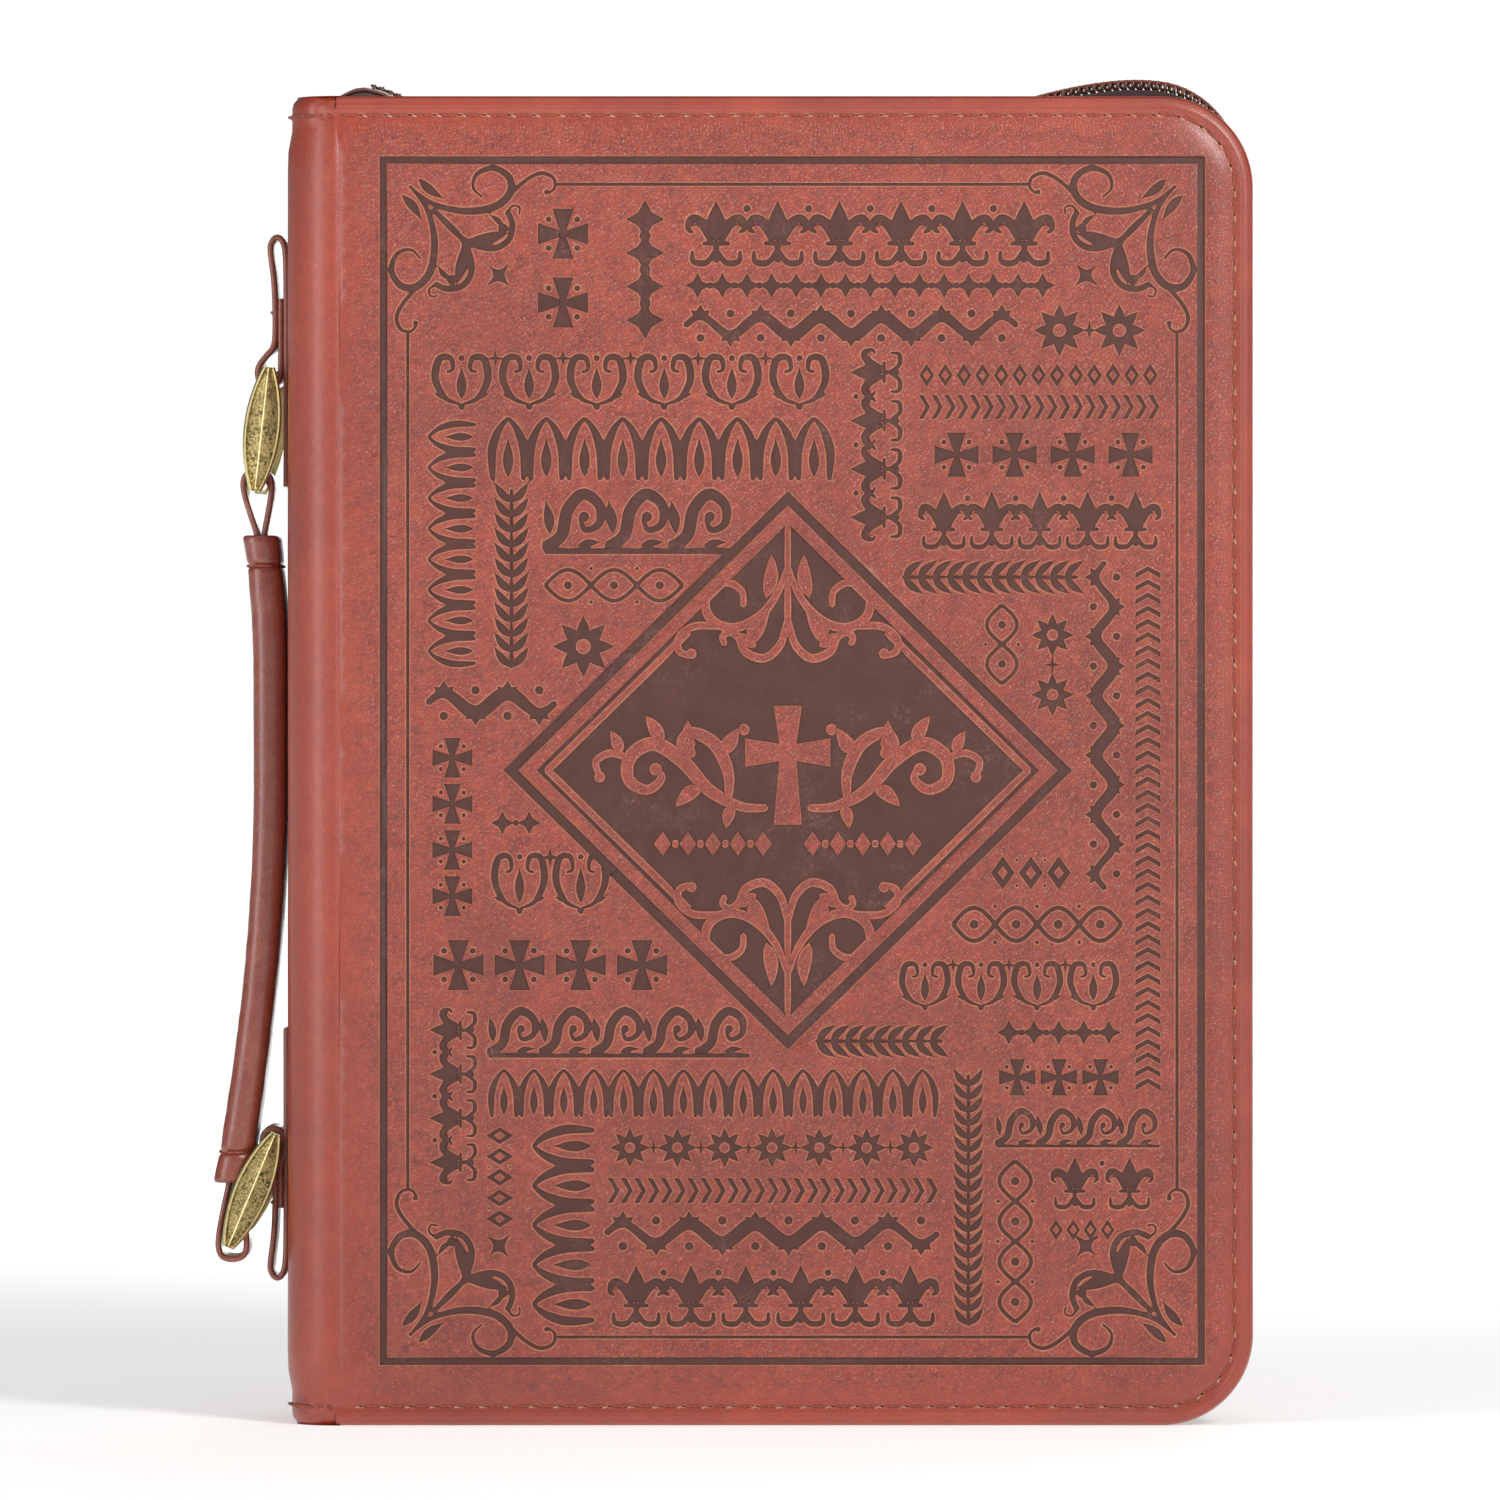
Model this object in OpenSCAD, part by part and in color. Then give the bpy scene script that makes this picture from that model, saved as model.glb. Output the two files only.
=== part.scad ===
// Zipped leather Bible case with a carry handle on its spine and a Bible inside.
// It stands on its lower rims: +Z up, front cover towards -Y, spine towards -X.

/* [Case] */
// Width from the spine's outer face to the fore edge
case_w = 190; // [170:1:230]
// Height of the covers
case_h = 261; // [225:1:315]
// Thickness from cover to cover
case_t = 50; // [46:1:60]
// Radius of the cover corners at the fore edge
corner_r = 18; // [12:1:22]
// Radius of the soft edge between spine and cover
hinge_r = 10; // [8:0.5:12]

/* [Cover layers] */
// Thickness of the leather
skin_t = 1.2; // [0.8:0.1:1.6]
// Thickness of the foam under the leather
foam_t = 1.2; // [0.8:0.1:2]
// Thickness of the stiffening board
board_t = 1.8; // [1.2:0.1:2.4]
// Thickness of the lining
lining_t = 0.8; // [0.5:0.1:1.2]
// Width of the leather turned over the edges of the layers
lip_w = 2; // [1.6:0.1:2.6]
// Thickness of the pocket that holds the board of the book
sleeve_t = 0.6; // [0.4:0.1:0.8]

/* [Stitching] */
// Distance from the rim to the line of stitches
stitch_inset = 3.8; // [3.2:0.1:5]
// Distance from one stitch to the next
stitch_pitch = 4.85; // [4:0.05:6]
// Length of one stitch
stitch_l = 3.3; // [2:0.1:3.6]
// Width of the thread
thread_w = 0.8; // [0.5:0.1:1]

/* [Tooled cover] */
// Space between the spine and the frame rule
frame_left = 18.4; // [15:0.1:22]
// Space between the frame rule and the fore edge
frame_right = 9.4; // [8:0.1:14]
// Space between the frame rule and the upper or lower rim
frame_end = 11.8; // [9:0.1:15]
// Width of the frame rule
rule_w = 1.7; // [1:0.1:2.2]
// Width of the thin inner rule
thin_rule_w = 0.6; // [0.4:0.1:1]
// Distance from the frame rule to the thin rule
rule_gap = 5.2; // [4:0.1:7]
// Depth of the tooling
tool_depth = 0.35; // [0.2:0.05:0.6]
// Half the width of the centre lozenge
lozenge_x = 56; // [45:0.5:62]
// Half the height of the centre lozenge
lozenge_z = 55; // [45:0.5:80]
// Width of the lozenge's border
lozenge_border = 5; // [3:0.1:7]

/* [Zip] */
// Depth of the leather gusset next to each cover
gusset_w = 8; // [6:0.5:12]
// Thickness of the gusset leather
gusset_t = 1.2; // [0.8:0.1:1.6]
// Thickness of the zip tape
tape_t = 0.6; // [0.4:0.1:0.8]
// Width of the zip tape tucked under the gusset
tape_lap = 3; // [2:0.5:5]
// Half the width of the closed chain
chain_half = 3.2; // [2.6:0.1:4]
// Height of the chain above its tape
chain_t = 2.2; // [1.6:0.1:2.6]
// Depth of the zip below the upper rim
zip_top_inset = 6.5; // [6.5:0.1:8]
// Depth of the zip behind the fore edge
zip_side_inset = 1.5; // [1:0.1:3]
// Depth of the zip above the lower rim
zip_base_inset = 4; // [2:0.1:6]
// Height of the zip above the upper rim where it swells at the corner
zip_swell = 3.7; // [0:0.1:6]
// How far the lower part of the fore edge swells outwards
zip_bulge = 1.5; // [0:0.1:3]
// Distance from the spine to the slider when the zip is closed
slider_x = 36; // [33:0.5:44]
// Length of the slider
slider_l = 14; // [12:0.5:16]
// Length of the zip pull
pull_l = 26; // [20:1:30]

/* [Handle] */
// Width of the straps
strap_w = 15; // [12:0.5:18]
// Thickness of the straps
strap_t = 1; // [0.8:0.1:1.2]
// Half the thickness of the padded handle
grip_half_t = 3.45; // [3:0.05:4]
// Half the width of the padded handle
grip_half_w = 10; // [9:0.5:12]
// Height of the upper anchor's pivot
anchor_up_z = 206.7; // [190:0.1:210]
// Height of the lower anchor's pivot
anchor_low_z = 55.5; // [50:0.1:70]
// Distance between the two bars of the upper link
link_up_l = 21.6; // [18:0.1:24]
// Distance between the two bars of the lower link
link_low_l = 21.3; // [18:0.1:24]
// Radius of the bars in the links
bar_r = 1.2; // [1:0.1:1.5]
// Thickness of the brass plates of the links
plate_t = 2; // [1.5:0.1:2.5]
// Half the width of the brass plates at their middle
plate_half_w = 3.65; // [3:0.05:4.2]

/* [Bible] */
// Width of the boards of the book
book_w = 168; // [150:1:170]
// Height of the boards of the book
book_h = 236; // [200:1:238]
// Thickness of the boards of the book
book_board_t = 2.3; // [1.5:0.1:2.6]

/* [Hidden] */
$fn = 48;

// Layers of one cover, outwards from the middle of the case
y_out = case_t / 2;
y_skin = y_out - skin_t;
y_foam = y_skin - foam_t;
y_board = y_foam - board_t;
y_lining = y_board - lining_t;

// The flat of each cover starts where the soft edge ends
panel_x = hinge_r;
spine_half = case_t / 2 - hinge_r;

// Book inside the case
fit_gap = 0.1;
book_x = skin_t + board_t + lining_t + 3.4;
book_z = (case_h - book_h) / 2;
book_top = book_z + book_h;
board_out_y = y_lining - fit_gap;
board_in_y = board_out_y - book_board_t;
sleeve_out_y = board_in_y - fit_gap;
sleeve_in_y = sleeve_out_y - sleeve_t;
page_gap = 0.3;
endpaper_t = 0.25;
square_w = 3;
page_y = sleeve_in_y - page_gap;
page_x = book_x + 2;
page_w = book_x + book_w - square_w - page_x;
sleeve_x = book_x + book_w * 0.58;
sleeve_rim = 0.8;
sleeve_gap = 2;
spine_book_t = 2;
spine_book_x = book_x - 0.3 - spine_book_t;
round_book = 4;

// Zip wall: it follows the rim at an inset that changes along the way
wall_x0 = 12;
run_low = case_w - corner_r - wall_x0;
run_side = case_h - 2 * corner_r;
arc_l = PI * corner_r / 2;
s_low = run_low;
s_side = s_low + arc_l;
s_up = s_side + run_side;
s_top = s_up + arc_l;
s_end = s_top + run_low;
bulge_at = 8;
bulge_half = 17;
swell_at = 4;
swell_fall = 41;
low_blend = 12;
tape_y = 1.6;
y_gusset = y_lining - gusset_w;
coil_gap = 0.05;
stop_gap = 1.5;
wall_steps = concat(
    [0, run_low - low_blend],
    [for (i = [1:6]) run_low - low_blend + low_blend * i / 6],
    [for (i = [1:6]) s_low + arc_l * i / 6],
    [for (i = [1:8]) s_side + (bulge_at + bulge_half) * i / 8],
    [s_up],
    [for (i = [1:8]) s_up + arc_l * i / 8],
    [for (i = [1:12]) s_top + (swell_at + swell_fall) * i / 12],
    [s_end]
);

// Slider
slider_gap = 0.25;
slider_plate = 1.2;
slider_half_w = 5;
flange_w = 1.3;
post_half = 1.3;
post_l = 3;
wall_top = case_h - zip_top_inset;
tape_top = wall_top - gusset_t;
tape_low = tape_top - tape_t;
slider_top = tape_top + chain_t + slider_gap + slider_plate;
pin_r = 0.6;
pin_gap = 0.05;
eye_r = 1.2;
pin_x = slider_x + 5;
pin_z = slider_top + eye_r + 0.2;
lug_half = 0.8;
lug_l = 4;
fork_w = 1;
fork_gap = 0.2;
pull_half_w = 3;
pull_t = 1.2;
fork_l = 5;
tab_l = 16;
tab_rise = 2.4;
tab_t = 1.4;
tab_gap = 0.3;

// Handle linkage, all in the plane of the spine's middle
hang_up = 6.4;
strap_gap = 0.4;
loop_slack = 1.3;
wide_gap = 1;
link_clear = 1.82;
grip_flare = 0.35;
loop_r = bar_r + strap_gap;
// The lower link hangs out far enough for the padded handle to clear the anchor strap
hang_low = asin((loop_r + strap_t + grip_half_t + grip_flare + link_clear) / link_low_l);
function hang(from, l, a) = [from[0] - l * sin(a), from[1] - l * cos(a)];
pivot_a = [-3.9, anchor_up_z];
pivot_b = hang(pivot_a, link_up_l, hang_up);
pivot_d = [-3, anchor_low_z];
pivot_c = hang(pivot_d, link_low_l, hang_low);
loop_c = [pivot_c[0], pivot_c[1] - loop_slack];
link_gap = 0.5;
link_in = max(strap_w / 2, grip_half_w) + link_gap;
plate_end_r = 1.7;

// Padded handle: its centreline bows away from the spine at both ends
grip_top = pivot_b[1] - 10.2;
grip_low = pivot_c[1] + 11.2;
grip_x = -grip_half_t - 0.3;
bow_up_from = grip_top - 27;
bow_low_from = grip_low + 78;
bow_up = pivot_b[0] + 0.7 - grip_x;
bow_low = pivot_c[0] - 0.2 - grip_x;
bow_power = 1.84;
grip_mid = (grip_top + grip_low) / 2;
grip_run = (grip_top - grip_low) / 2;
cover_t = 1.2;
grip_rings = 16;
seam_in = 6;
seam_lift = 0.1;
seam_t = 0.3;
core_in = 9;
function grip_u(z) = grip_x
    + (z > bow_up_from ? bow_up * pow((z - bow_up_from) / (grip_top - bow_up_from), 2) : 0)
    + (z < bow_low_from
        ? bow_low * pow((bow_low_from - z) / (bow_low_from - grip_low), bow_power) : 0);
function grip_a(z) = grip_half_t + grip_flare * pow((z - grip_mid) / grip_run, 4);
handle_reach = -(grip_u(grip_low) - grip_a(grip_low));

// Anchor straps
fold_r = 1.5;
fold_gap = 0.05;
fold_x = -fold_r - strap_t - fold_gap;
anchor_l = 26.7;
anchor_tail = 22;

// The object's middle is the origin, and its lowest face is the ground
spine_x = (handle_reach - case_w - zip_bulge + zip_side_inset - chain_t + gusset_t) / 2;

leather = "#a9553b";
dark_leather = "#7d3b29";
lining_colour = "#3a2a25";
thread_colour = "#6f3626";
brass = "#b8a25a";
coil_colour = "#5a3426";
tape_colour = "#4a2b22";
paper = "#efe6cf";
gilt = "#c9a84e";
book_leather = "#2b2220";
foam_colour = "#d8d2c4";
card = "#9a8b70";

// ---------- helpers ----------

module in_case() translate([spine_x, 0, 0]) children();

// Extrudes a drawing in X and Z from y0 to y1
module slab(y0, y1) translate([0, y1, 0]) rotate([90, 0, 0]) linear_extrude(y1 - y0) children();

module front() mirror([0, 1, 0]) children();

// Cover outline with rounded corners at the fore edge, drawn in by d on three sides
module cover_outline(d = 0, x0 = panel_x) {
    r = corner_r - d;
    right = case_w - corner_r;
    translate([x0, d]) square([right - x0, case_h - 2 * d]);
    translate([right, corner_r]) square([r, case_h - 2 * corner_r]);
    for (z = [corner_r, case_h - corner_r]) translate([right, z]) circle(r);
}

module frame_band(d, w) difference() {
    translate([frame_left + d, frame_end + d])
        square([case_w - frame_left - frame_right - 2 * d, case_h - 2 * frame_end - 2 * d]);
    translate([frame_left + d + w, frame_end + d + w])
        square([case_w - frame_left - frame_right - 2 * (d + w),
                case_h - 2 * frame_end - 2 * (d + w)]);
}

module lozenge(d) translate([(frame_left + case_w - frame_right) / 2, case_h / 2])
    polygon([[lozenge_x - d, 0], [0, lozenge_z - d], [d - lozenge_x, 0], [0, d - lozenge_z]]);

// ---------- layers of a cover, drawn for the back ----------

module cover_skin(tooled) difference() {
    union() {
        slab(y_skin, y_out) cover_outline();
        slab(y_lining, y_skin) difference() {
            cover_outline();
            cover_outline(lip_w, panel_x - 1);
        }
    }
    slab(y_out - thread_w * 0.6, y_out + 1) difference() {
        cover_outline(stitch_inset - thread_w * 0.7, panel_x - 1);
        cover_outline(stitch_inset + thread_w * 0.7, panel_x - 2);
    }
    if (tooled) slab(y_out - tool_depth, y_out + 1) {
        frame_band(0, rule_w);
        frame_band(rule_gap, thin_rule_w);
        difference() {
            lozenge(0);
            lozenge(rule_w);
        }
        lozenge(lozenge_border);
    }
}

module cover_layer(y0, y1) slab(y0, y1) cover_outline(lip_w);

module cover_stitches() {
    r = corner_r - stitch_inset;
    ends = [stitch_inset, case_h - stitch_inset];
    across = case_w - corner_r - panel_x;
    n_across = round(across / stitch_pitch);
    up = case_h - 2 * corner_r;
    n_up = round(up / stitch_pitch);
    n_arc = round(PI * r / 2 / stitch_pitch);
    for (z = ends, i = [0:n_across - 1])
        stitch(panel_x + across * (i + 0.5) / n_across, z, 0);
    for (i = [0:n_up - 1])
        stitch(case_w - stitch_inset, corner_r + up * (i + 0.5) / n_up, 90);
    for (i = [0:n_arc - 1]) {
        a = 90 * (i + 0.5) / n_arc;
        x = case_w - corner_r + r * cos(a);
        stitch(x, case_h - corner_r + r * sin(a), a - 90);
        stitch(x, corner_r - r * sin(a), 90 - a);
    }
}

// One thread lying in the sewn channel
module stitch(x, z, a) translate([x, y_out - thread_w * 0.6, z]) rotate([0, -a, 0])
    translate([-stitch_l / 2, 0, -thread_w / 2]) cube([stitch_l, thread_w * 0.6, thread_w]);

module hinge_leather() linear_extrude(case_h) translate([hinge_r, spine_half])
    intersection() {
        difference() {
            circle(hinge_r);
            circle(hinge_r - skin_t);
        }
        translate([-hinge_r, 0]) square(hinge_r);
    }

// Pocket on the lining that the board of the book slides into
module sleeve() {
    top = book_top + sleeve_gap;
    low = book_z - sleeve_gap;
    right = book_x + book_w + sleeve_gap;
    slab(sleeve_in_y, sleeve_out_y)
        translate([sleeve_x, low]) square([right - sleeve_x, top - low]);
    slab(sleeve_out_y, y_lining) difference() {
        translate([sleeve_x, low]) square([right - sleeve_x, top - low]);
        translate([sleeve_x - 1, low + sleeve_rim])
            square([right - sleeve_x + 1 - sleeve_rim, top - low - 2 * sleeve_rim]);
    }
}

// ---------- zip wall ----------

function ease(t) = t <= 0 ? 0 : t >= 1 ? 1 : t * t * (3 - 2 * t);
function swell(t) = abs(t) >= 1 ? 0 : 0.5 + 0.5 * cos(180 * t);

// Inset of the gusset's outer face from the rim, at a distance s along it
function wall_inset(s) =
    s < s_side ? zip_base_inset
        + (zip_side_inset - zip_base_inset) * ease((s - s_low + low_blend) / (low_blend + arc_l))
    : s < s_up ? zip_side_inset - zip_bulge * swell((s - s_side - bulge_at) / bulge_half)
    : s < s_top + swell_at ? zip_side_inset
        - (zip_side_inset + zip_swell) * ease((s - s_up) / (arc_l + swell_at))
    : -zip_swell + (zip_swell + zip_top_inset) * ease((s - s_top - swell_at) / swell_fall);

// Direction out of the case at a distance s along the rim
function wall_turn(s) =
    s < s_low ? -90
    : s < s_side ? -90 + 90 * (s - s_low) / arc_l
    : s < s_up ? 0
    : s < s_top ? 90 * (s - s_up) / arc_l
    : 90;

function rim_point(s) =
    s < s_low ? [wall_x0 + s, 0]
    : s < s_side ? [case_w - corner_r, corner_r] + corner_r * out_of(s)
    : s < s_up ? [case_w, corner_r + s - s_side]
    : s < s_top ? [case_w - corner_r, case_h - corner_r] + corner_r * out_of(s)
    : [case_w - corner_r - (s - s_top), case_h];

function out_of(s) = [cos(wall_turn(s)), sin(wall_turn(s))];
function wall_point(s, d) = rim_point(s) - (wall_inset(s) + d) * out_of(s);

// A strip between two depths below the gusset's outer face
module wall_strip(d0, d1, steps = wall_steps) polygon(concat(
    [for (s = steps) wall_point(s, d0)],
    [for (i = [len(steps) - 1:-1:0]) wall_point(steps[i], d1)]
));

module gusset() slab(y_gusset, y_lining) wall_strip(0, gusset_t);

module zip_tape() slab(tape_y, y_gusset + tape_lap) wall_strip(gusset_t, gusset_t + tape_t);

module zip_coil() {
    s_slider = s_top + case_w - corner_r - (slider_x - slider_l / 2 + post_l + stop_gap);
    steps = concat([stop_gap], [for (s = wall_steps) if (s > stop_gap && s < s_slider) s],
                   [s_slider]);
    slab(coil_gap, chain_half) wall_strip(gusset_t - chain_t, gusset_t, steps);
}

module slider_body() color(brass) in_case() translate([slider_x, 0, 0]) {
    for (z = [tape_low - slider_gap - slider_plate, slider_top - slider_plate])
        translate([-slider_l / 2, -slider_half_w, z])
            cube([slider_l, 2 * slider_half_w, slider_plate]);
    flange_z = tape_top + slider_gap;
    for (side = [0, 1]) mirror([0, side, 0])
        translate([-slider_l / 2, slider_half_w - flange_w, flange_z])
            cube([slider_l, flange_w, slider_top - slider_plate - flange_z]);
    translate([-slider_l / 2, -post_half, tape_low - slider_gap])
        cube([post_l, 2 * post_half, slider_top - slider_plate - tape_low + slider_gap]);
}

// Lug on the slider with the pin that the pull turns on
module slider_bridge() color(brass) in_case() {
    translate([pin_x - lug_l / 2, -lug_half, slider_top])
        cube([lug_l, 2 * lug_half, pin_z - slider_top]);
    translate([pin_x, lug_half, pin_z]) rotate([90, 0, 0]) cylinder(h = 2 * lug_half, r = eye_r);
    pin_half = lug_half + fork_gap + fork_w;
    translate([pin_x, pin_half, pin_z]) rotate([90, 0, 0]) cylinder(h = 2 * pin_half, r = pin_r);
}

module zip_pull() color(brass) in_case() translate([pin_x, 0, pin_z]) {
    difference() {
        union() {
            for (side = [0, 1]) mirror([0, side, 0]) {
                translate([0, lug_half + fork_gap, -pull_t / 2])
                    cube([fork_l, fork_w, pull_t]);
                translate([0, lug_half + fork_gap + fork_w, 0]) rotate([90, 0, 0])
                    cylinder(h = fork_w, r = eye_r);
            }
            slab_z(pull_t) {
                translate([fork_l, -pull_half_w]) square([pull_l - fork_l - pull_half_w,
                                                          2 * pull_half_w]);
                translate([pull_l - pull_half_w, 0]) circle(pull_half_w);
            }
        }
        translate([0, pull_half_w, 0]) rotate([90, 0, 0])
            cylinder(h = 2 * pull_half_w, r = pin_r + pin_gap);
        translate([pull_l - pull_half_w, 0, -pull_t]) cylinder(h = 2 * pull_t, r = 1);
    }
}

module slab_z(t) translate([0, 0, -t / 2]) linear_extrude(t) children();

// Leather folded over the end of the zip beside the spine
module zip_tab(low, rise) {
    top = [for (i = [0:8]) [panel_x - 1 + tab_l * i / 8, low + tab_t + rise * swell(i / 4 - 1)]];
    slab(-y_gusset + tab_gap, y_gusset - tab_gap)
        polygon(concat(top, [for (i = [8:-1:0]) top[i] - [0, tab_t]]));
}

// ---------- spine ----------

module spine_skin() color(leather) in_case() {
    translate([0, -spine_half, 0]) cube([skin_t, 2 * spine_half, case_h]);
    for (z = [0, case_h - lip_w]) translate([skin_t, -spine_half, z])
        cube([board_t + lining_t, 2 * spine_half, lip_w]);
}

module spine_layer(x, t) translate([x, -spine_half + 0.5, lip_w])
    cube([t, 2 * spine_half - 1, case_h - 2 * lip_w]);

module spine_stitches() {
    n = round(2 * spine_half / stitch_pitch);
    for (z = [stitch_inset, case_h - stitch_inset], i = [0:n - 1])
        translate([-thread_w * 0.6, -spine_half + 2 * spine_half * (i + 0.5) / n - stitch_l / 2,
                   z - thread_w / 2])
            cube([thread_w * 0.6, stitch_l, thread_w]);
}

// ---------- Bible ----------

module book_board() slab(board_in_y, board_out_y) {
    translate([book_x, book_z]) square([book_w - round_book, book_h]);
    translate([book_x, book_z + round_book]) square([book_w, book_h - 2 * round_book]);
    for (z = [book_z + round_book, book_top - round_book])
        translate([book_x + book_w - round_book, z]) circle(round_book);
}

module endpaper() slab(board_in_y - endpaper_t - 0.02, board_in_y)
    translate([page_x, book_z + square_w])
        square([sleeve_x - 1 - page_x, book_h - 2 * square_w]);

module text_block() color(paper) in_case() slab(-page_y, page_y)
    translate([page_x, book_z + square_w]) square([page_w, book_h - 2 * square_w]);

module book_band(z) color(gilt) in_case() translate([page_x, page_y - 1, z]) rotate([90, 0, 0])
    cylinder(h = 2 * page_y - 2, r = 1.4);

module bible_spine() color(book_leather) in_case()
    translate([spine_book_x, -spine_half + 0.3, book_z])
        cube([spine_book_t, 2 * spine_half - 0.6, book_h]);

// ---------- handle ----------

// Strap folded round a bar and brought together at its far end
module strap_loop(bar, r, end, end_r, in_end, in_r) difference() {
    hull() {
        translate(bar) circle(r + strap_t, $fn = 32);
        translate(end) circle(end_r, $fn = 32);
    }
    hull() {
        translate(bar) circle(r, $fn = 32);
        translate(in_end) circle(in_r, $fn = 32);
    }
}

module strap_slab() slab(-strap_w / 2, strap_w / 2) children();

// The anchor strap: a loop round the bar and a layer sewn flat on the spine
module anchor_strap(pivot, way) color(dark_leather) in_case() strap_slab() {
    fold_z = pivot[1] + way * anchor_l;
    strap_loop(pivot, loop_r, [fold_x, fold_z], fold_r,
               [fold_x, fold_z - way * 9], 0.15);
    z0 = min(pivot[1] - way * anchor_tail, fold_z);
    translate([-strap_t, z0]) square([strap_t, anchor_l + anchor_tail]);
    translate([-strap_t - 0.4, fold_z - fold_r]) square([0.4, 2 * fold_r]);
}

module anchor_stitches(pivot, way) {
    z = pivot[1] + way * (anchor_l - 11);
    k = (pivot[1] + way * anchor_l - z) / (way * anchor_l);
    bend = loop_r + strap_t;
    x = (pivot[0] - bend) * k + (fold_x - fold_r) * (1 - k) - thread_w / 2;
    for (i = [-1:1]) translate([x - 0.1, i * stitch_pitch - stitch_l / 2, z - thread_w / 2])
        cube([thread_w / 2, stitch_l, thread_w]);
}

// Brass plate: a long pointed oval whose two facets meet along its middle
module link_plate(from, l, a) translate([from[0], 0, from[1]]) rotate([0, a, 0])
    translate([0, link_in, -l / 2]) {
        half = l / 2 + plate_end_r;
        big = (half * half + plate_half_w * plate_half_w) / (2 * plate_half_w);
        slab(0, plate_t) intersection() {
            translate([big - plate_half_w, 0]) circle(big, $fn = 96);
            translate([plate_half_w - big, 0]) circle(big, $fn = 96);
            square([2 * plate_half_w, 2 * half - plate_end_r], center = true);
        }
    }

module link_bars(ends) color(brass) in_case()
    for (p = ends) translate([p[0], link_in, p[1]]) rotate([90, 0, 0])
        cylinder(h = 2 * link_in, r = bar_r);

// Solid swept along the handle's centreline, with a section made of two half rounds
module grip(z0, z1, in) {
    n = 8;
    rings = grip_rings;
    zs = [for (i = [0:rings]) z0 + (z1 - z0) * i / rings];
    ring = function(z) let (
        a = grip_a(z) - in,
        straight = grip_half_w - in - a
    ) [for (side = [1, -1], i = [0:n]) let (t = 180 * i / n)
        [grip_u(z) + a * cos(t) * side, side * (straight + a * sin(t)), z]];
    m = 2 * (n + 1);
    polyhedron(
        points = [for (z = zs) each ring(z)],
        faces = concat(
            [[for (i = [0:m - 1]) i]],
            [[for (i = [m - 1:-1:0]) rings * m + i]],
            [for (k = [0:rings - 1], i = [0:m - 1]) let (j = (i + 1) % m)
                [k * m + i, (k + 1) * m + i, (k + 1) * m + j, k * m + j]]
        ),
        convexity = 6
    );
}

module handle_cover() color(leather) in_case() difference() {
    grip(grip_low, grip_top, 0);
    grip(grip_low - 0.1, grip_top + 0.1, cover_t);
}

module handle_padding() color(foam_colour) in_case() difference() {
    grip(grip_low + core_in, grip_top - core_in, cover_t + 0.02);
    strap_run(0.02);
}

// The flat of the strap inside the padding
module strap_run(gap) {
    n = 12;
    z0 = grip_low + 3;
    z1 = grip_top - 3;
    mid = [for (i = [0:n]) let (z = z0 + (z1 - z0) * i / n) [grip_u(z), z]];
    slab(-strap_w / 2 - gap, strap_w / 2 + gap) polygon(concat(
        [for (p = mid) p + [strap_t + gap, 0]],
        [for (i = [n:-1:0]) mid[i] - [strap_t + gap, 0]]
    ));
}

module handle_strap() color(dark_leather) in_case() {
    strap_run(0);
    top = grip_top - 3;
    low = grip_low + 3;
    strap_slab() {
        strap_loop(pivot_b, loop_r, [grip_u(top), top], strap_t,
                   [grip_u(top), top + 3], 0.15);
        strap_loop(loop_c, bar_r + wide_gap, [grip_u(low), low], strap_t + 1.1,
                   [grip_u(low), low - 1], 1.1);
    }
}

module handle_stitching() color(thread_colour) in_case()
    for (z = [grip_low + seam_in, grip_top - seam_in], side = [-1, 1], i = [-1:1])
        translate([grip_u(z) + side * (grip_a(z) + seam_lift + seam_t / 2) - seam_t / 2,
                   i * stitch_pitch - stitch_l / 2, z - thread_w / 2])
            cube([seam_t, stitch_l, thread_w]);

// ---------- the nodes ----------

color(leather) in_case() front() cover_skin(true);  // front_skin
color(foam_colour) in_case() front() cover_layer(y_foam, y_skin);  // front_foam
color(card) in_case() front() cover_layer(y_board, y_foam);  // front_board
color(lining_colour) in_case() front() cover_layer(y_lining, y_board);  // front_lining
color(lining_colour) in_case() front() sleeve();  // front_sleeve
color(thread_colour) in_case() front() cover_stitches();  // front_stitching
color(dark_leather) in_case() front() gusset();  // front_gusset
color(tape_colour) in_case() front() zip_tape();  // front_zip_tape
color(coil_colour) in_case() front() zip_coil();  // front_zip_coil
color(leather) in_case() front() hinge_leather();  // front_hinge_leather
color(book_leather) in_case() front() book_board();  // bible_front_board
color(paper) in_case() front() endpaper();  // bible_front_endpaper
color(leather) in_case() cover_skin(false);  // back_skin
color(foam_colour) in_case() cover_layer(y_foam, y_skin);  // back_foam
color(card) in_case() cover_layer(y_board, y_foam);  // back_board
color(lining_colour) in_case() cover_layer(y_lining, y_board);  // back_lining
color(lining_colour) in_case() sleeve();  // back_sleeve
color(thread_colour) in_case() cover_stitches();  // back_stitching
color(dark_leather) in_case() gusset();  // back_gusset
color(tape_colour) in_case() zip_tape();  // back_zip_tape
color(coil_colour) in_case() zip_coil();  // back_zip_coil
color(leather) in_case() hinge_leather();  // back_hinge_leather
color(book_leather) in_case() book_board();  // bible_back_board
color(paper) in_case() endpaper();  // bible_back_endpaper
text_block();  // bible_text_block
book_band(book_top - square_w + 1.4);  // bible_head_band
book_band(book_z + square_w - 1.4);  // bible_tail_band
spine_skin();
color(card) in_case() spine_layer(skin_t, board_t);  // spine_stiffener
color(lining_colour) in_case() spine_layer(skin_t + board_t, lining_t);  // spine_lining
color(thread_colour) in_case() spine_stitches();  // spine_stitching
bible_spine();
color(dark_leather) in_case() zip_tab(tape_top + chain_t + tab_gap, tab_rise + 3);  // upper_zip_tab
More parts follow.
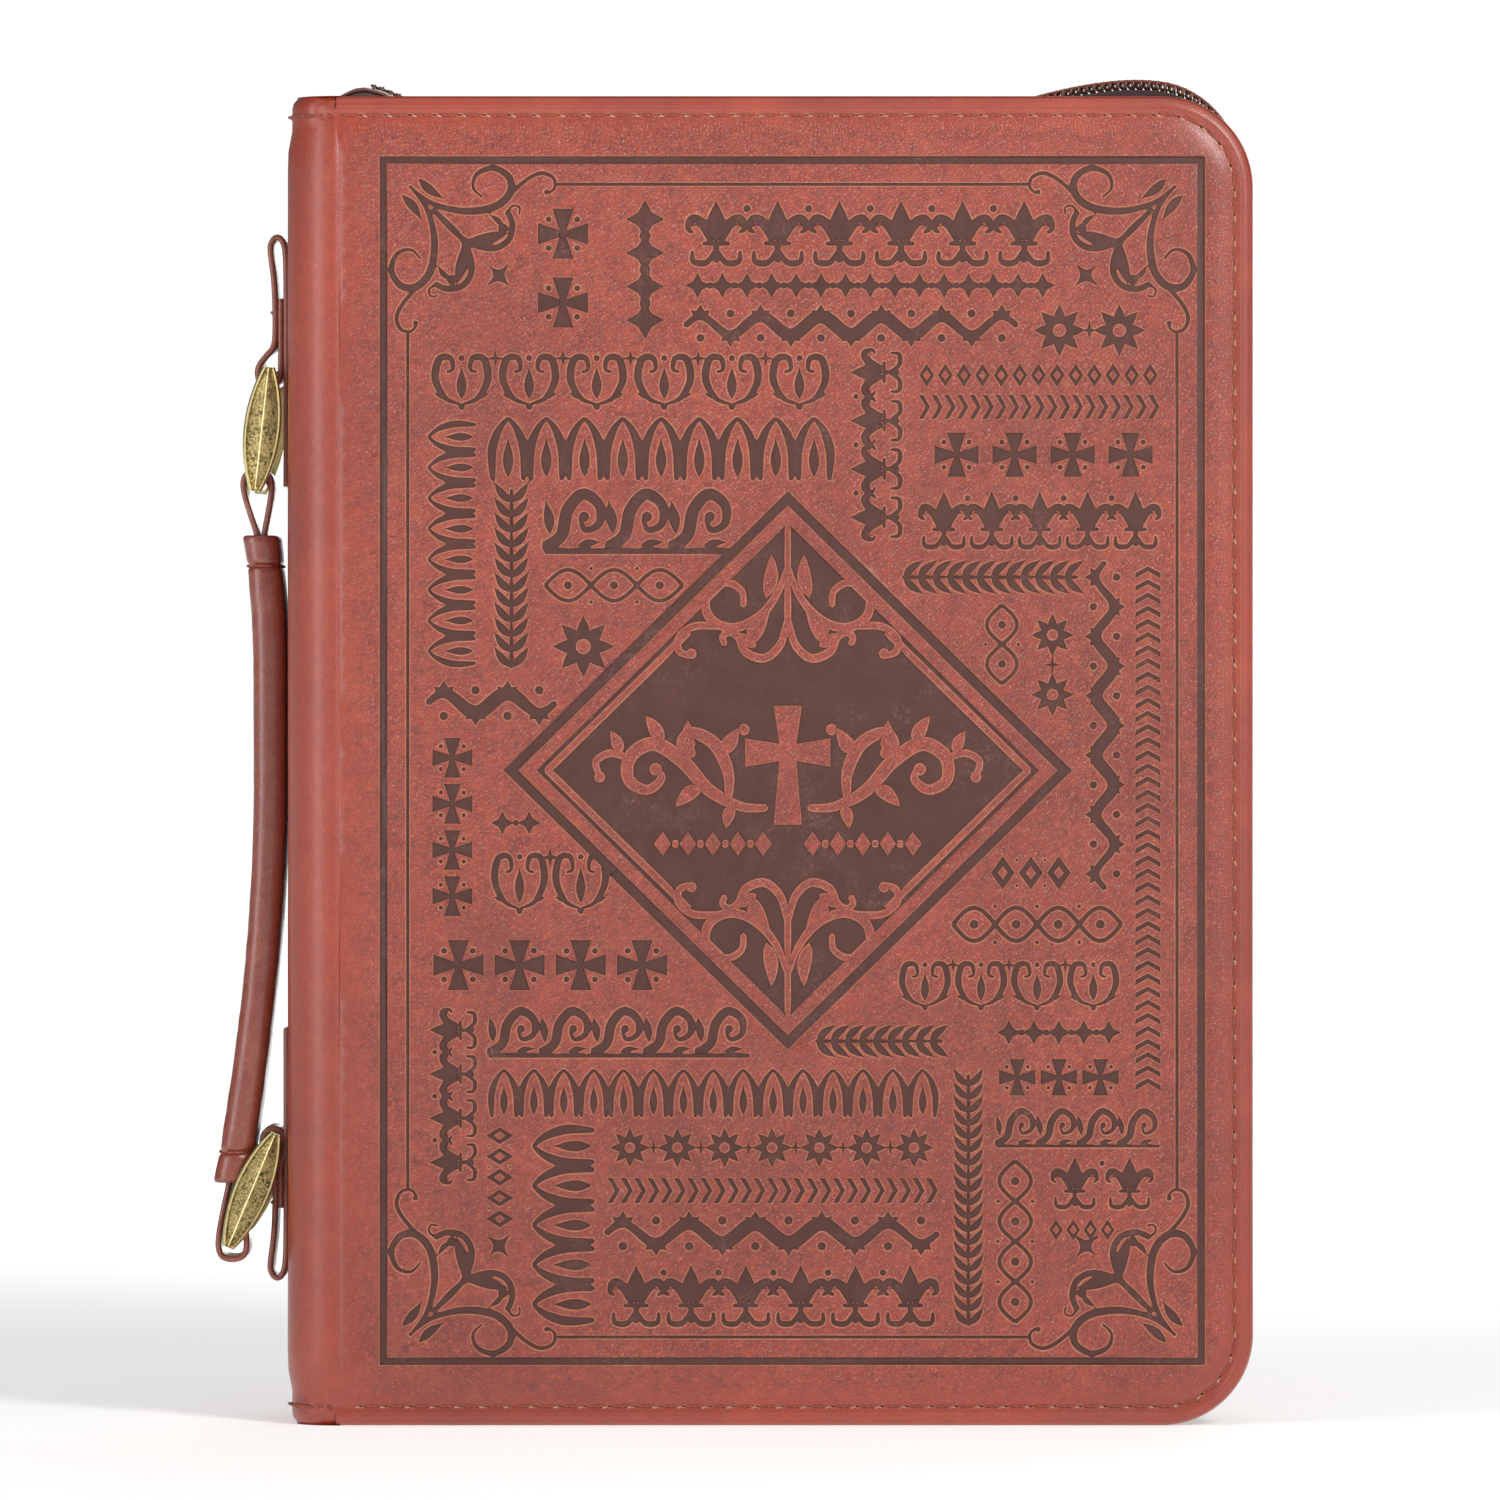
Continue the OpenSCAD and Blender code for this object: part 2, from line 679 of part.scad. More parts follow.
color(dark_leather) in_case() zip_tab(0.2, 0);  // lower_zip_tab
anchor_strap(pivot_a, 1);  // upper_anchor_strap
anchor_strap(pivot_d, -1);  // lower_anchor_strap
color(thread_colour) in_case() {  // anchor_stitching
    anchor_stitches(pivot_a, 1);
    anchor_stitches(pivot_d, -1);
}
color(brass) in_case() front() link_plate(pivot_a, link_up_l, hang_up);  // upper_link_front_plate
color(brass) in_case() link_plate(pivot_a, link_up_l, hang_up);  // upper_link_back_plate
link_bars([pivot_a, pivot_b]);  // upper_link_bars
color(brass) in_case() front() link_plate(pivot_d, link_low_l, hang_low);  // lower_link_front_plate
color(brass) in_case() link_plate(pivot_d, link_low_l, hang_low);  // lower_link_back_plate
link_bars([pivot_d, pivot_c]);  // lower_link_bars
handle_cover();
handle_padding();
handle_strap();
handle_stitching();
slider_body();
slider_bridge();
zip_pull();
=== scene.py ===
"""Looks for the zipped leather Bible case: tooled leather, zip, brass links, handle and Bible.

Lengths in this script are millimetres in the case's own frame, measured from the spine's outer
face (u), the middle of the thickness (y) and the ground (z). place() turns them into the frame.
"""
import math
import random

import bpy
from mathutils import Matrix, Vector, kdtree, noise
from mathutils.geometry import delaunay_2d_cdt


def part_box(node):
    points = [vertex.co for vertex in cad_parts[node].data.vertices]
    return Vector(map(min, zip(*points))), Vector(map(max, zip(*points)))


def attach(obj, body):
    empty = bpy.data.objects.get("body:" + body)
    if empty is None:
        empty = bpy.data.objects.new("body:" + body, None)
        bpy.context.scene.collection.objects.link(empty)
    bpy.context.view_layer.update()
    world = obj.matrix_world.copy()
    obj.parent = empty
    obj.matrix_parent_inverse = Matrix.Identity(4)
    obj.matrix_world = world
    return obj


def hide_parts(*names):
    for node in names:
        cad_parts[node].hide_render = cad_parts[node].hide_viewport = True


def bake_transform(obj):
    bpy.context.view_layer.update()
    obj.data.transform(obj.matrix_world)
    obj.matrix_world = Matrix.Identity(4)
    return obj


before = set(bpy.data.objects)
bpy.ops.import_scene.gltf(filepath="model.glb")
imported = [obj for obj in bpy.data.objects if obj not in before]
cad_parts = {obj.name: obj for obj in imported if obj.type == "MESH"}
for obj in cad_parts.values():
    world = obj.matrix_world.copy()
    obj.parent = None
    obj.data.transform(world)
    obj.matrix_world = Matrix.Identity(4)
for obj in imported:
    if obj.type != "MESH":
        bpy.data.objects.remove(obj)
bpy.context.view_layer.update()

MM = 0.001
TAU = 2 * math.pi


def size_of(node):
    low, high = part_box(node)
    return [c / MM for c in low], [c / MM for c in high]


# ---------- sizes taken from the frame ----------

spine_low, spine_high = size_of("spine_skin")
skin_low, skin_high = size_of("front_skin")
X0 = spine_low[0]
CASE_W = skin_high[0] - X0
CASE_H = skin_high[2]
HALF_T = -skin_low[1]
PANEL_U = skin_low[0] - X0
HINGE_R = PANEL_U
INNER_Y = -skin_high[1]
SPINE_HALF = spine_high[1]
CORNER_R = 18
STITCH_INSET = 3.8
STITCH_PITCH = 4.85


def place(u, y, z):
    return Vector(((X0 + u) * MM, y * MM, z * MM))


# ---------- camera, lights and floor ----------

def aim(obj, target):
    obj.rotation_euler = (Vector(target) - obj.location).to_track_quat("-Z", "Y").to_euler()


def make_camera():
    view_u, view_z, view_h = 91.2, 132.6, 294.1
    distance = 2000
    data = bpy.data.cameras.new("camera")
    data.sensor_width = 36
    data.lens = 36 * (distance - HALF_T) / view_h
    data.clip_end = 20
    cam = bpy.data.objects.new("camera", data)
    cam.location = place(view_u, -distance, view_z)
    cam.rotation_euler = (math.pi / 2, 0, 0)
    bpy.context.scene.collection.objects.link(cam)
    bpy.context.scene.camera = cam


def add_area(name, spot, target, size, power, colour=(1, 1, 1)):
    data = bpy.data.lights.new(name, "AREA")
    data.shape = "RECTANGLE"
    data.size, data.size_y = size
    data.energy = power
    data.color = colour
    lamp = bpy.data.objects.new(name, data)
    lamp.location = spot
    aim(lamp, target)
    bpy.context.scene.collection.objects.link(lamp)


def make_lights():
    middle = (0, 0, 0.13)
    bpy.context.scene.view_settings.view_transform = "Standard"
    add_area("soft_left", (-0.78, -0.72, 0.30), middle, (0.26, 1.2), 4.2)
    add_area("key_right", (0.56, -0.92, 0.72), middle, (0.22, 0.4), 7.6, (1, 0.99, 0.97))
    add_area("top_soft", (0.0, -0.4, 1.2), middle, (0.8, 0.6), 1.6)
    add_area("back_soft", (0.4, 1.3, 0.35), middle, (1.0, 0.7), 6.0)
    world = bpy.data.worlds.new("studio")
    world.use_nodes = True
    tree = world.node_tree
    seen = tree.nodes.new("ShaderNodeLightPath")
    level = tree.nodes.new("ShaderNodeMapRange")
    level.inputs["To Min"].default_value = 0.15
    level.inputs["To Max"].default_value = 1.05
    tree.links.new(seen.outputs["Is Camera Ray"], level.inputs["Value"])
    tree.links.new(level.outputs["Result"], tree.nodes["Background"].inputs["Strength"])
    tree.nodes["Background"].inputs["Color"].default_value = (1, 1, 1, 1)
    bpy.context.scene.world = world


def make_floor():
    """A wide pale table that runs into the white of the studio on every side."""
    rings, sides = [0.3, 0.6, 1.2, 2.5, 5, 12, 30], 64
    verts = [(0, 0, 0)] + [(r * math.cos(TAU * k / sides), r * math.sin(TAU * k / sides), 0)
                           for r in rings for k in range(sides)]
    faces = [(0, 1 + k, 1 + (k + 1) % sides) for k in range(sides)]
    faces += grid_faces(len(rings), sides, True, False, 1)
    mesh = bpy.data.meshes.new("floor")
    mesh.from_pydata(verts, [], faces)
    floor = bpy.data.objects.new("floor", mesh)
    bpy.context.scene.collection.objects.link(floor)
    paper = Shader("floor_paper")
    far = paper.node("ShaderNodeVectorMath", {0: paper.point()}, operation="LENGTH")
    glow = paper.ramp(far.outputs["Value"], 0.3, 1.6, 0.42, 1.0)
    paper.set(Base_Color=(0.9, 0.9, 0.895), Roughness=0.9, Emission_Color=(1, 1, 1),
              Emission_Strength=glow)
    floor.data.materials.append(paper.material)


# ---------- materials ----------

class Shader:
    """A material's node tree with short calls to add and join nodes."""

    def __init__(self, name):
        self.material = bpy.data.materials.new(name)
        self.material.use_nodes = True
        self.tree = self.material.node_tree
        self.bsdf = self.tree.nodes["Principled BSDF"]

    def node(self, kind, inputs=None, **settings):
        made = self.tree.nodes.new(kind)
        for key, value in settings.items():
            setattr(made, key, value)
        for key, value in (inputs or {}).items():
            self.put(made.inputs[key], value)
        return made

    def put(self, socket, value):
        if isinstance(value, bpy.types.NodeSocket):
            self.tree.links.new(value, socket)
        elif isinstance(value, (tuple, list)) and len(value) == 3 and socket.type == "RGBA":
            socket.default_value = (*value, 1)
        else:
            socket.default_value = value

    def set(self, **values):
        for key, value in values.items():
            self.put(self.bsdf.inputs[key.replace("_", " ")], value)

    def point(self):
        return self.node("ShaderNodeTexCoord").outputs["Object"]

    def noise(self, scale, detail=2.0, rough=0.5, point=None):
        return self.node("ShaderNodeTexNoise", {
            "Vector": point or self.point(), "Scale": scale, "Detail": detail,
            "Roughness": rough}).outputs["Fac"]

    def cells(self, scale, feature="F1", point=None, out="Distance"):
        return self.node("ShaderNodeTexVoronoi", {
            "Vector": point or self.point(), "Scale": scale, "Randomness": 1.0},
            feature=feature).outputs[out]

    def ramp(self, value, low, high, start=0.0, end=1.0):
        return self.node("ShaderNodeMapRange", {
            "Value": value, "From Min": low, "From Max": high,
            "To Min": start, "To Max": end}).outputs["Result"]

    def math(self, operation, a, b=0.0):
        made = self.node("ShaderNodeMath", operation=operation)
        self.put(made.inputs[0], a)
        self.put(made.inputs[1], b)
        return made.outputs[0]

    def mix(self, factor, a, b):
        made = self.node("ShaderNodeMix", data_type="RGBA", blend_type="MIX")
        self.put(made.inputs[0], factor)
        self.put(made.inputs[6], a)
        self.put(made.inputs[7], b)
        return made.outputs[2]

    def attribute(self, name):
        return self.node("ShaderNodeAttribute", attribute_name=name).outputs["Fac"]

    def bump(self, height, strength, distance, normal=None):
        values = {"Height": height, "Strength": strength, "Distance": distance}
        if normal:
            values["Normal"] = normal
        return self.node("ShaderNodeBump", values).outputs["Normal"]


def flat_material(name, colour, rough):
    s = Shader(name)
    s.set(Base_Color=colour, Roughness=rough)
    return s.material


def leather_material(name, base, dark, pale_tone_and_highlight, rough=0.42, grain=1.0, wear=True):
    """Pigmented leather: pebbles with painted shade in the creases between them, a painted
    highlight on some pebbles' tops, and soft clouds of tone.
    """
    s = Shader(name)
    point = s.point()
    calm = s.attribute("calm") if wear else None
    keep = s.math("SUBTRACT", 1.0, s.math("MULTIPLY", calm, 0.8)) if wear else 0.55
    warp = s.node("ShaderNodeTexNoise", {"Vector": point, "Scale": 900.0, "Detail": 2.0})
    bent = s.node("ShaderNodeMix", {0: 0.00035, 4: point, 5: warp.outputs["Color"]},
                  data_type="VECTOR").outputs[1]
    crease = s.cells(1450, "DISTANCE_TO_EDGE", bent)
    tone = s.cells(1450, "F1", bent, "Color")
    cloud = s.noise(24, 4, 0.6, point)
    blotch = s.noise(75, 3, 0.6, point)
    colour = s.mix(s.ramp(cloud, 0.34, 0.62), dark, base)
    colour = s.mix(0.6, colour, base)
    colour = s.mix(s.ramp(blotch, 0.5, 0.75, 0.0, 0.24), colour, pale_tone_and_highlight)
    # painted highlight: random pebbles are mixed towards the pale colour, standing in for lit
    # pebble tops
    top = s.ramp(s.node("ShaderNodeSeparateColor", {0: tone}).outputs[0], 0.45, 1.0, 0.0, 0.36)
    colour = s.mix(s.math("MULTIPLY", top, keep), colour, pale_tone_and_highlight)
    # painted shade: the creases between pebbles are darkened towards the dark colour
    line = s.ramp(crease, 0.0, 0.27, 1.0, 0.0)
    thin = s.ramp(s.noise(420, 3, 0.6, point), 0.4, 0.6, 0.45, 1.0)
    colour = s.mix(s.math("MULTIPLY", s.math("MULTIPLY", line, thin), keep), colour, dark)
    fine = s.noise(3200, 3, 0.6, point)
    height = s.math("ADD", s.ramp(crease, 0.0, 0.28, 0.0, 1.0), s.math("MULTIPLY", fine, 0.35))
    normal = s.bump(s.math("MULTIPLY", height, keep), 0.5 * grain, 0.0002)
    normal = s.bump(s.noise(170, 3, 0.5, point), 0.2, 0.0006, normal)
    roughness = s.ramp(fine, 0.3, 0.7, rough - 0.06, rough + 0.1)
    s.set(Base_Color=colour, Roughness=roughness, Normal=normal, Coat_Weight=0.55,
          Coat_Roughness=0.3, Specular_IOR_Level=0.7)
    return s.material


def ink_material():
    """Floor of the tooling: burnt dark, pressed smooth, with worn paler patches."""
    s = Shader("tooled_ink")
    worn = s.ramp(s.noise(60, 5, 0.7), 0.52, 0.74, 0.0, 0.75)
    fleck = s.ramp(s.noise(1500, 2, 0.7), 0.46, 0.7)
    patch = s.math("MULTIPLY", worn, fleck)
    tone = s.mix(s.noise(260, 4, 0.6), (0.058, 0.017, 0.012), (0.11, 0.036, 0.026))
    colour = s.mix(patch, tone, (0.28, 0.135, 0.105))
    brushed = s.node("ShaderNodeMapping", {"Vector": s.point(), "Scale": (2600.0, 500.0, 160.0)})
    streak = s.noise(1.0, 3, 0.6, brushed.outputs["Vector"])
    normal = s.bump(streak, 0.3, 0.0001)
    s.set(Base_Color=colour, Roughness=s.ramp(streak, 0.3, 0.7, 0.36, 0.5), Normal=normal,
          Specular_IOR_Level=0.5)
    return s.material


def brass_material(name, bright, dark, grainy):
    s = Shader(name)
    lump = s.noise(1900 if grainy else 900, 4, 0.75)
    patina = s.ramp(s.noise(330, 4, 0.65), 0.42, 0.62)
    pit = s.ramp(lump, 0.42, 0.56)
    amount = s.math("MULTIPLY", pit, s.math("ADD", s.math("MULTIPLY", patina, 0.5), 0.5))
    if not grainy:
        amount = s.math("MULTIPLY", amount, 0.35)
    colour = s.mix(amount, bright, dark)
    normal = s.bump(lump, 0.55 if grainy else 0.12, 0.00014)
    s.set(Base_Color=colour, Metallic=1.0, Normal=normal,
          Roughness=s.ramp(lump, 0.3, 0.7, 0.3, 0.55 if grainy else 0.38))
    return s.material


def cloth_material(name, base, dark, scale=2200):
    """Plain woven cloth: two crossing sets of fine ribs with uneven yarn colour."""
    s = Shader(name)
    waves = [s.node("ShaderNodeTexWave", {"Vector": s.point(), "Scale": scale / 6.3,
                                          "Distortion": 0.6, "Detail": 1.0},
                    bands_direction=d).outputs["Fac"] for d in ("X", "Z")]
    weave = s.math("MULTIPLY", waves[0], waves[1])
    fluff = s.noise(scale, 2, 0.6)
    colour = s.mix(s.math("MULTIPLY", weave, fluff), dark, base)
    colour = s.mix(s.ramp(s.noise(45, 3), 0.4, 0.8, 0, 0.3), colour, dark)
    s.set(Base_Color=colour, Roughness=0.85, Sheen_Weight=0.08, Sheen_Roughness=0.5,
          Normal=s.bump(weave, 0.6, 0.0002))
    return s.material


def thread_material(name, base, dark):
    s = Shader(name)
    twist = s.node("ShaderNodeTexWave", {"Vector": s.point(), "Scale": 520.0,
                                         "Distortion": 1.5}, bands_direction="DIAGONAL")
    s.set(Base_Color=s.mix(twist.outputs["Fac"], dark, base), Roughness=0.55,
          Normal=s.bump(twist.outputs["Fac"], 0.5, 0.00015))
    return s.material


def coil_material():
    s = Shader("nylon_coil")
    shade = s.noise(900, 3, 0.6)
    s.set(Base_Color=s.mix(shade, (0.11, 0.038, 0.024), (0.24, 0.1, 0.06)), Coat_Weight=0.5,
          Coat_Roughness=0.12, Roughness=s.ramp(shade, 0.3, 0.7, 0.24, 0.34),
          Normal=s.bump(shade, 0.15, 0.0001))
    return s.material


def page_material():
    """Edges of many thin leaves: fine parallel lines with slight colour change."""
    s = Shader("page_edges")
    spread = s.node("ShaderNodeMapping", {"Vector": s.point(), "Scale": (4.0, 9000.0, 4.0)})
    leaves = s.noise(1.0, 4, 0.7, spread.outputs["Vector"])
    stain = s.noise(30, 4, 0.6)
    colour = s.mix(s.ramp(leaves, 0.3, 0.7), (0.6, 0.5, 0.34), (0.88, 0.82, 0.67))
    colour = s.mix(s.ramp(stain, 0.55, 0.8, 0, 0.35), colour, (0.62, 0.5, 0.32))
    s.set(Base_Color=colour, Roughness=0.8, Normal=s.bump(leaves, 0.5, 0.0003))
    return s.material


def paper_material(name, base, dark):
    s = Shader(name)
    fibre = s.noise(900, 5, 0.7)
    s.set(Base_Color=s.mix(s.ramp(fibre, 0.3, 0.75, 0.45, 1.0), dark, base), Roughness=0.85,
          Normal=s.bump(fibre, 0.2, 0.0001))
    return s.material


# the deep colour gives darker clouds and the painted shade in the pebble creases; the pale colour
# gives pale patches and the painted highlight on pebble tops
WARM, DEEP_TONE_AND_SHADE, PALE_TONE_AND_HIGHLIGHT = (0.37, 0.036, 0.01), (0.12, 0.01, 0.004), (0.6, 0.11, 0.035)


def make_materials():
    return {
        "leather": leather_material("cover_leather", WARM, DEEP_TONE_AND_SHADE, PALE_TONE_AND_HIGHLIGHT),
        # painted highlight: the upper strips of the tooling walls get this much paler, glossier
        # leather so they read as lit rims
        "edge": leather_material("painted_highlight_wall", (0.58, 0.22, 0.14), (0.36, 0.11, 0.065),
                                 (0.78, 0.42, 0.3), 0.22, 0.3, False),
        "ink": ink_material(),
        "gusset": leather_material("gusset_leather", (0.25, 0.036, 0.02), (0.11, 0.017, 0.01),
                                   (0.42, 0.1, 0.055), 0.34, 0.5, False),
        "strap": leather_material("strap_leather", (0.23, 0.042, 0.024), (0.1, 0.02, 0.012),
                                  (0.4, 0.12, 0.07), 0.3, 0.35, False),
        "cut_edge": leather_material("cut_edge", (0.3, 0.075, 0.045), (0.16, 0.035, 0.022),
                                     (0.48, 0.18, 0.11), 0.28, 0.4, False),
        "grip": leather_material("grip_leather", (0.29, 0.05, 0.026), (0.14, 0.024, 0.014),
                                 (0.46, 0.14, 0.078), 0.3, 0.35, False),
        "thread": thread_material("waxed_thread", (0.36, 0.08, 0.045), (0.22, 0.045, 0.026)),
        # painted highlight: the thread end standing by each hole is coloured paler than the rest
        # of the same thread
        "nub": thread_material("painted_highlight_thread_end", (0.55, 0.3, 0.21), (0.38, 0.14, 0.09)),
        # painted shade: near-black colour put in the needle holes and the hidden ends of the
        # handle grip, where only shade falls
        "hole": flat_material("painted_shade_hole", (0.035, 0.012, 0.008), 0.8),
        "brass": brass_material("bright_brass", (0.8, 0.7, 0.36), (0.34, 0.26, 0.1), False),
        "brass_grain": brass_material("grainy_brass", (0.5, 0.385, 0.17),
                                      (0.07, 0.048, 0.016), True),
        "lining": cloth_material("lining_cloth", (0.045, 0.028, 0.023), (0.015, 0.01, 0.008)),
        "tape": cloth_material("zip_tape_cloth", (0.1, 0.028, 0.02), (0.035, 0.01, 0.008), 3000),
        "coil": coil_material(),
        "pages": page_material(),
        "paper": paper_material("endpaper", (0.85, 0.8, 0.68), (0.74, 0.67, 0.52)),
        "card": paper_material("grey_board", (0.42, 0.35, 0.24), (0.28, 0.22, 0.14)),
        "book": leather_material("book_cover", (0.03, 0.02, 0.018), (0.012, 0.008, 0.007),
                                 (0.07, 0.05, 0.045), 0.4, 0.6, False),
        "band": thread_material("band_thread", (0.7, 0.52, 0.2), (0.4, 0.1, 0.06)),
    }


# ---------- building pieces and attaching them to bodies ---

def make_piece(name, verts, faces, materials, body=None, slot=None, replaces=(), spots=None,
               calm=None):
    """A mesh piece from case points in millimetres. spots gives each face's material number."""
    mesh = bpy.data.meshes.new(name)
    mesh.from_pydata([place(*v) for v in verts], [], faces)
    mesh.polygons.foreach_set("use_smooth", [True] * len(faces))
    for m in materials:
        mesh.materials.append(m)
    if spots:
        mesh.polygons.foreach_set("material_index", spots)
    if calm:
        layer = mesh.attributes.new("calm", "FLOAT", "POINT")
        layer.data.foreach_set("value", calm)
    mesh.update()
    obj = bpy.data.objects.new(name, mesh)
    bpy.context.scene.collection.objects.link(obj)
    if body:
        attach(obj, body)
    if replaces:
        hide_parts(*replaces)
    return obj


def grid_faces(rows, cols, wrap_cols=False, wrap_rows=False, first=0):
    faces = []
    for i in range(rows if wrap_rows else rows - 1):
        for j in range(cols if wrap_cols else cols - 1):
            a, b = i * cols + j, i * cols + (j + 1) % cols
            c, d = (i + 1) % rows * cols + (j + 1) % cols, (i + 1) % rows * cols + j
            faces.append((first + a, first + b, first + c, first + d))
    return faces


def sharpen(obj, degrees=40):
    mesh = obj.data
    mesh.set_sharp_from_angle(angle=math.radians(degrees))


def tube(path, radius, sides=8):
    """Vertices and faces of a round tube along points; radius is a number or one per point."""
    points = [Vector(p) for p in path]
    n = len(points)
    radii = radius if isinstance(radius, (list, tuple)) else [radius] * n
    verts, side = [], Vector((0, 1, 0))
    for i, p in enumerate(points):
        ahead = points[i + 1] if i < n - 1 else p
        behind = points[i - 1] if i > 0 else p
        along = (ahead - behind).normalized()
        side = (side - along * side.dot(along))
        if side.length < 1e-6:
            side = along.orthogonal()
        side.normalize()
        up = along.cross(side)
        for k in range(sides):
            a = TAU * k / sides
            verts.append(p + (side * math.cos(a) + up * math.sin(a)) * radii[i])
    faces = grid_faces(n, sides, True)
    faces.append(tuple(range(sides - 1, -1, -1)))
    faces.append(tuple((n - 1) * sides + k for k in range(sides)))
    return verts, faces


def merge(parts):
    verts, faces = [], []
    for v, f in parts:
        first = len(verts)
        verts.extend(v)
        faces.extend(tuple(first + i for i in face) for face in f)
    return verts, faces


def join(*groups):
    """One mesh from groups of (verts, faces, spots); spots is one number, or one per face."""
    verts, faces = merge([group[:2] for group in groups])
    spots = []
    for _, made, spot in groups:
        spots += spot if isinstance(spot, list) else [spot] * len(made)
    return verts, faces, spots


def turned(faces):
    return [tuple(reversed(f)) for f in faces]


def open_edges(tris):
    """The directed edges that only one triangle uses."""
    used = dict.fromkeys((a, b) for t in tris for a, b in zip(t, (*t[1:], t[0])))
    return [(a, b) for a, b in used if (b, a) not in used]


# ---------- drawing in the plane ----------

def curve(points, step=0.5):
    """Smooth line through points."""
    ends = [points[0], *points, points[-1]]
    out = []
    for i in range(len(points) - 1):
        p0, p1, p2, p3 = [Vector(p) for p in ends[i:i + 4]]
        count = max(2, round((p2 - p1).length / step))
        for k in range(count):
            t = k / count
            out.append(0.5 * ((2 * p1) + (p2 - p0) * t + (2 * p0 - 5 * p1 + 4 * p2 - p3) * t * t
                              + (3 * p1 - p0 - 3 * p2 + p3) * t ** 3))
    out.append(Vector(points[-1]))
    return out


def stroke(line, w0, w1=None, belly=0.0):
    """Outline of a pen stroke along a line; its width runs from w0 to w1 with a belly between."""
    w1 = w0 if w1 is None else w1
    n = len(line)
    left, right = [], []
    for i, p in enumerate(line):
        along = (line[min(i + 1, n - 1)] - line[max(i - 1, 0)])
        if along.length < 1e-9:
            continue
        along.normalize()
        t = i / (n - 1)
        half = (w0 + (w1 - w0) * t + belly * math.sin(math.pi * t)) / 2
        side = Vector((-along.y, along.x)) * half
        left.append(p + side)
        right.append(p - side)
    start = line[0] - (line[1] - line[0]).normalized() * w0 * 0.35
    end = line[-1] + (line[-1] - line[-2]).normalized() * w1 * 0.35
    return [start, *right, end, *reversed(left)]


def disc(x, z, r, n=None):
    n = n or max(8, round(r * 9))
    return [Vector((x + r * math.cos(TAU * i / n), z + r * math.sin(TAU * i / n)))
            for i in range(n)]


def leaf(x, z, degrees, length, width, bend=0.0, n=7):
    """A pointed leaf from its foot at x, z."""
    a = math.radians(degrees)
    along, side = Vector((math.cos(a), math.sin(a))), Vector((-math.sin(a), math.cos(a)))
    foot = Vector((x, z))
    upper, lower = [], []
    for i in range(n + 1):
        t = i / n
        mid = foot + along * length * t + side * bend * math.sin(math.pi * t)
        half = width / 2 * math.sin(math.pi * t ** 0.8)
        upper.append(mid + side * half)
        lower.append(mid - side * half)
    return lower + list(reversed(upper[1:-1]))


def star(x, z, outer, inner, points):
    out = []
    for i in range(2 * points):
        a = math.radians(90 + 180 * i / points)
        r = outer if i % 2 == 0 else inner
        out.append(Vector((x + r * math.cos(a), z + r * math.sin(a))))
    return out


def cross(x, z, half_w, up, down, arm, flare):
    """A plain cross with slightly flared ends."""
    f = arm + flare
    return [Vector((x + a, z + b)) for a, b in [
        (-arm, -arm), (-f, -down), (f, -down), (arm, -arm), (half_w, -f), (half_w, f),
        (arm, arm), (f, up), (-f, up), (-arm, arm), (-half_w, f), (-half_w, -f)]]


# ---------- bands of ornament, drawn in a strip of length l and height h ----------

def cells_of(l, h, ratio):
    count = max(1, round(l / (h * ratio)))
    return count, l / count


def band_buds(l, h):
    """Three-petalled buds on curled stalks, with a bead between them."""
    n, c = cells_of(l, h, 0.86)
    out = []
    for i in range(n):
        x, k = c * (i + 0.5), min(c / 0.86, h)
        out.append(leaf(x, 0.34 * h, 90, 0.66 * h, 0.32 * k))
        out.append(stroke([Vector((x, 0.06 * h)), Vector((x, 0.2 * h)), Vector((x, 0.34 * h))],
                          0.12 * k))
        out.append(stroke([Vector((x - 0.2 * k, 0.33 * h)), Vector((x, 0.33 * h)),
                           Vector((x + 0.2 * k, 0.33 * h))], 0.09 * h))
        for side in (-1, 1):
            petal = curve([(x + side * 0.08 * k, 0.36 * h), (x + side * 0.2 * k, 0.62 * h),
                           (x + side * 0.36 * k, 0.7 * h), (x + side * 0.42 * k, 0.55 * h),
                           (x + side * 0.34 * k, 0.5 * h)], 0.4)
            out.append(stroke(petal, 0.1 * k, 0.07 * k, 0.11 * k))
            foot = curve([(x + side * 0.02 * k, 0.24 * h), (x + side * 0.14 * k, 0.05 * h),
                          (x + side * 0.34 * k, 0.06 * h), (x + side * 0.36 * k, 0.22 * h)], 0.4)
            out.append(stroke(foot, 0.07 * k, 0.08 * k, 0.06 * k))
        if i:
            out.append(disc(c * i, 0.86 * h, 0.075 * h))
    return out


def band_lozenges(l, h):
    n, c = cells_of(l, h, 0.72)
    out = []
    for i in range(n):
        x = c * (i + 0.5)
        a, b = 0.47 * c, 0.5 * h
        out.append([Vector(p) for p in [(x - a, b), (x, b - 0.5 * h), (x + a, b),
                                        (x, b + 0.5 * h)]])
        if i:
            for z in (0.14 * h, 0.86 * h):
                out.append(disc(c * i, z, 0.075 * h))
    holes = [[Vector(p) for p in [(x - 0.14 * c, h / 2), (x, 0.35 * h), (x + 0.14 * c, h / 2),
                                  (x, 0.65 * h)]] for x in [c * (i + 0.5) for i in range(n)]]
    return out, holes


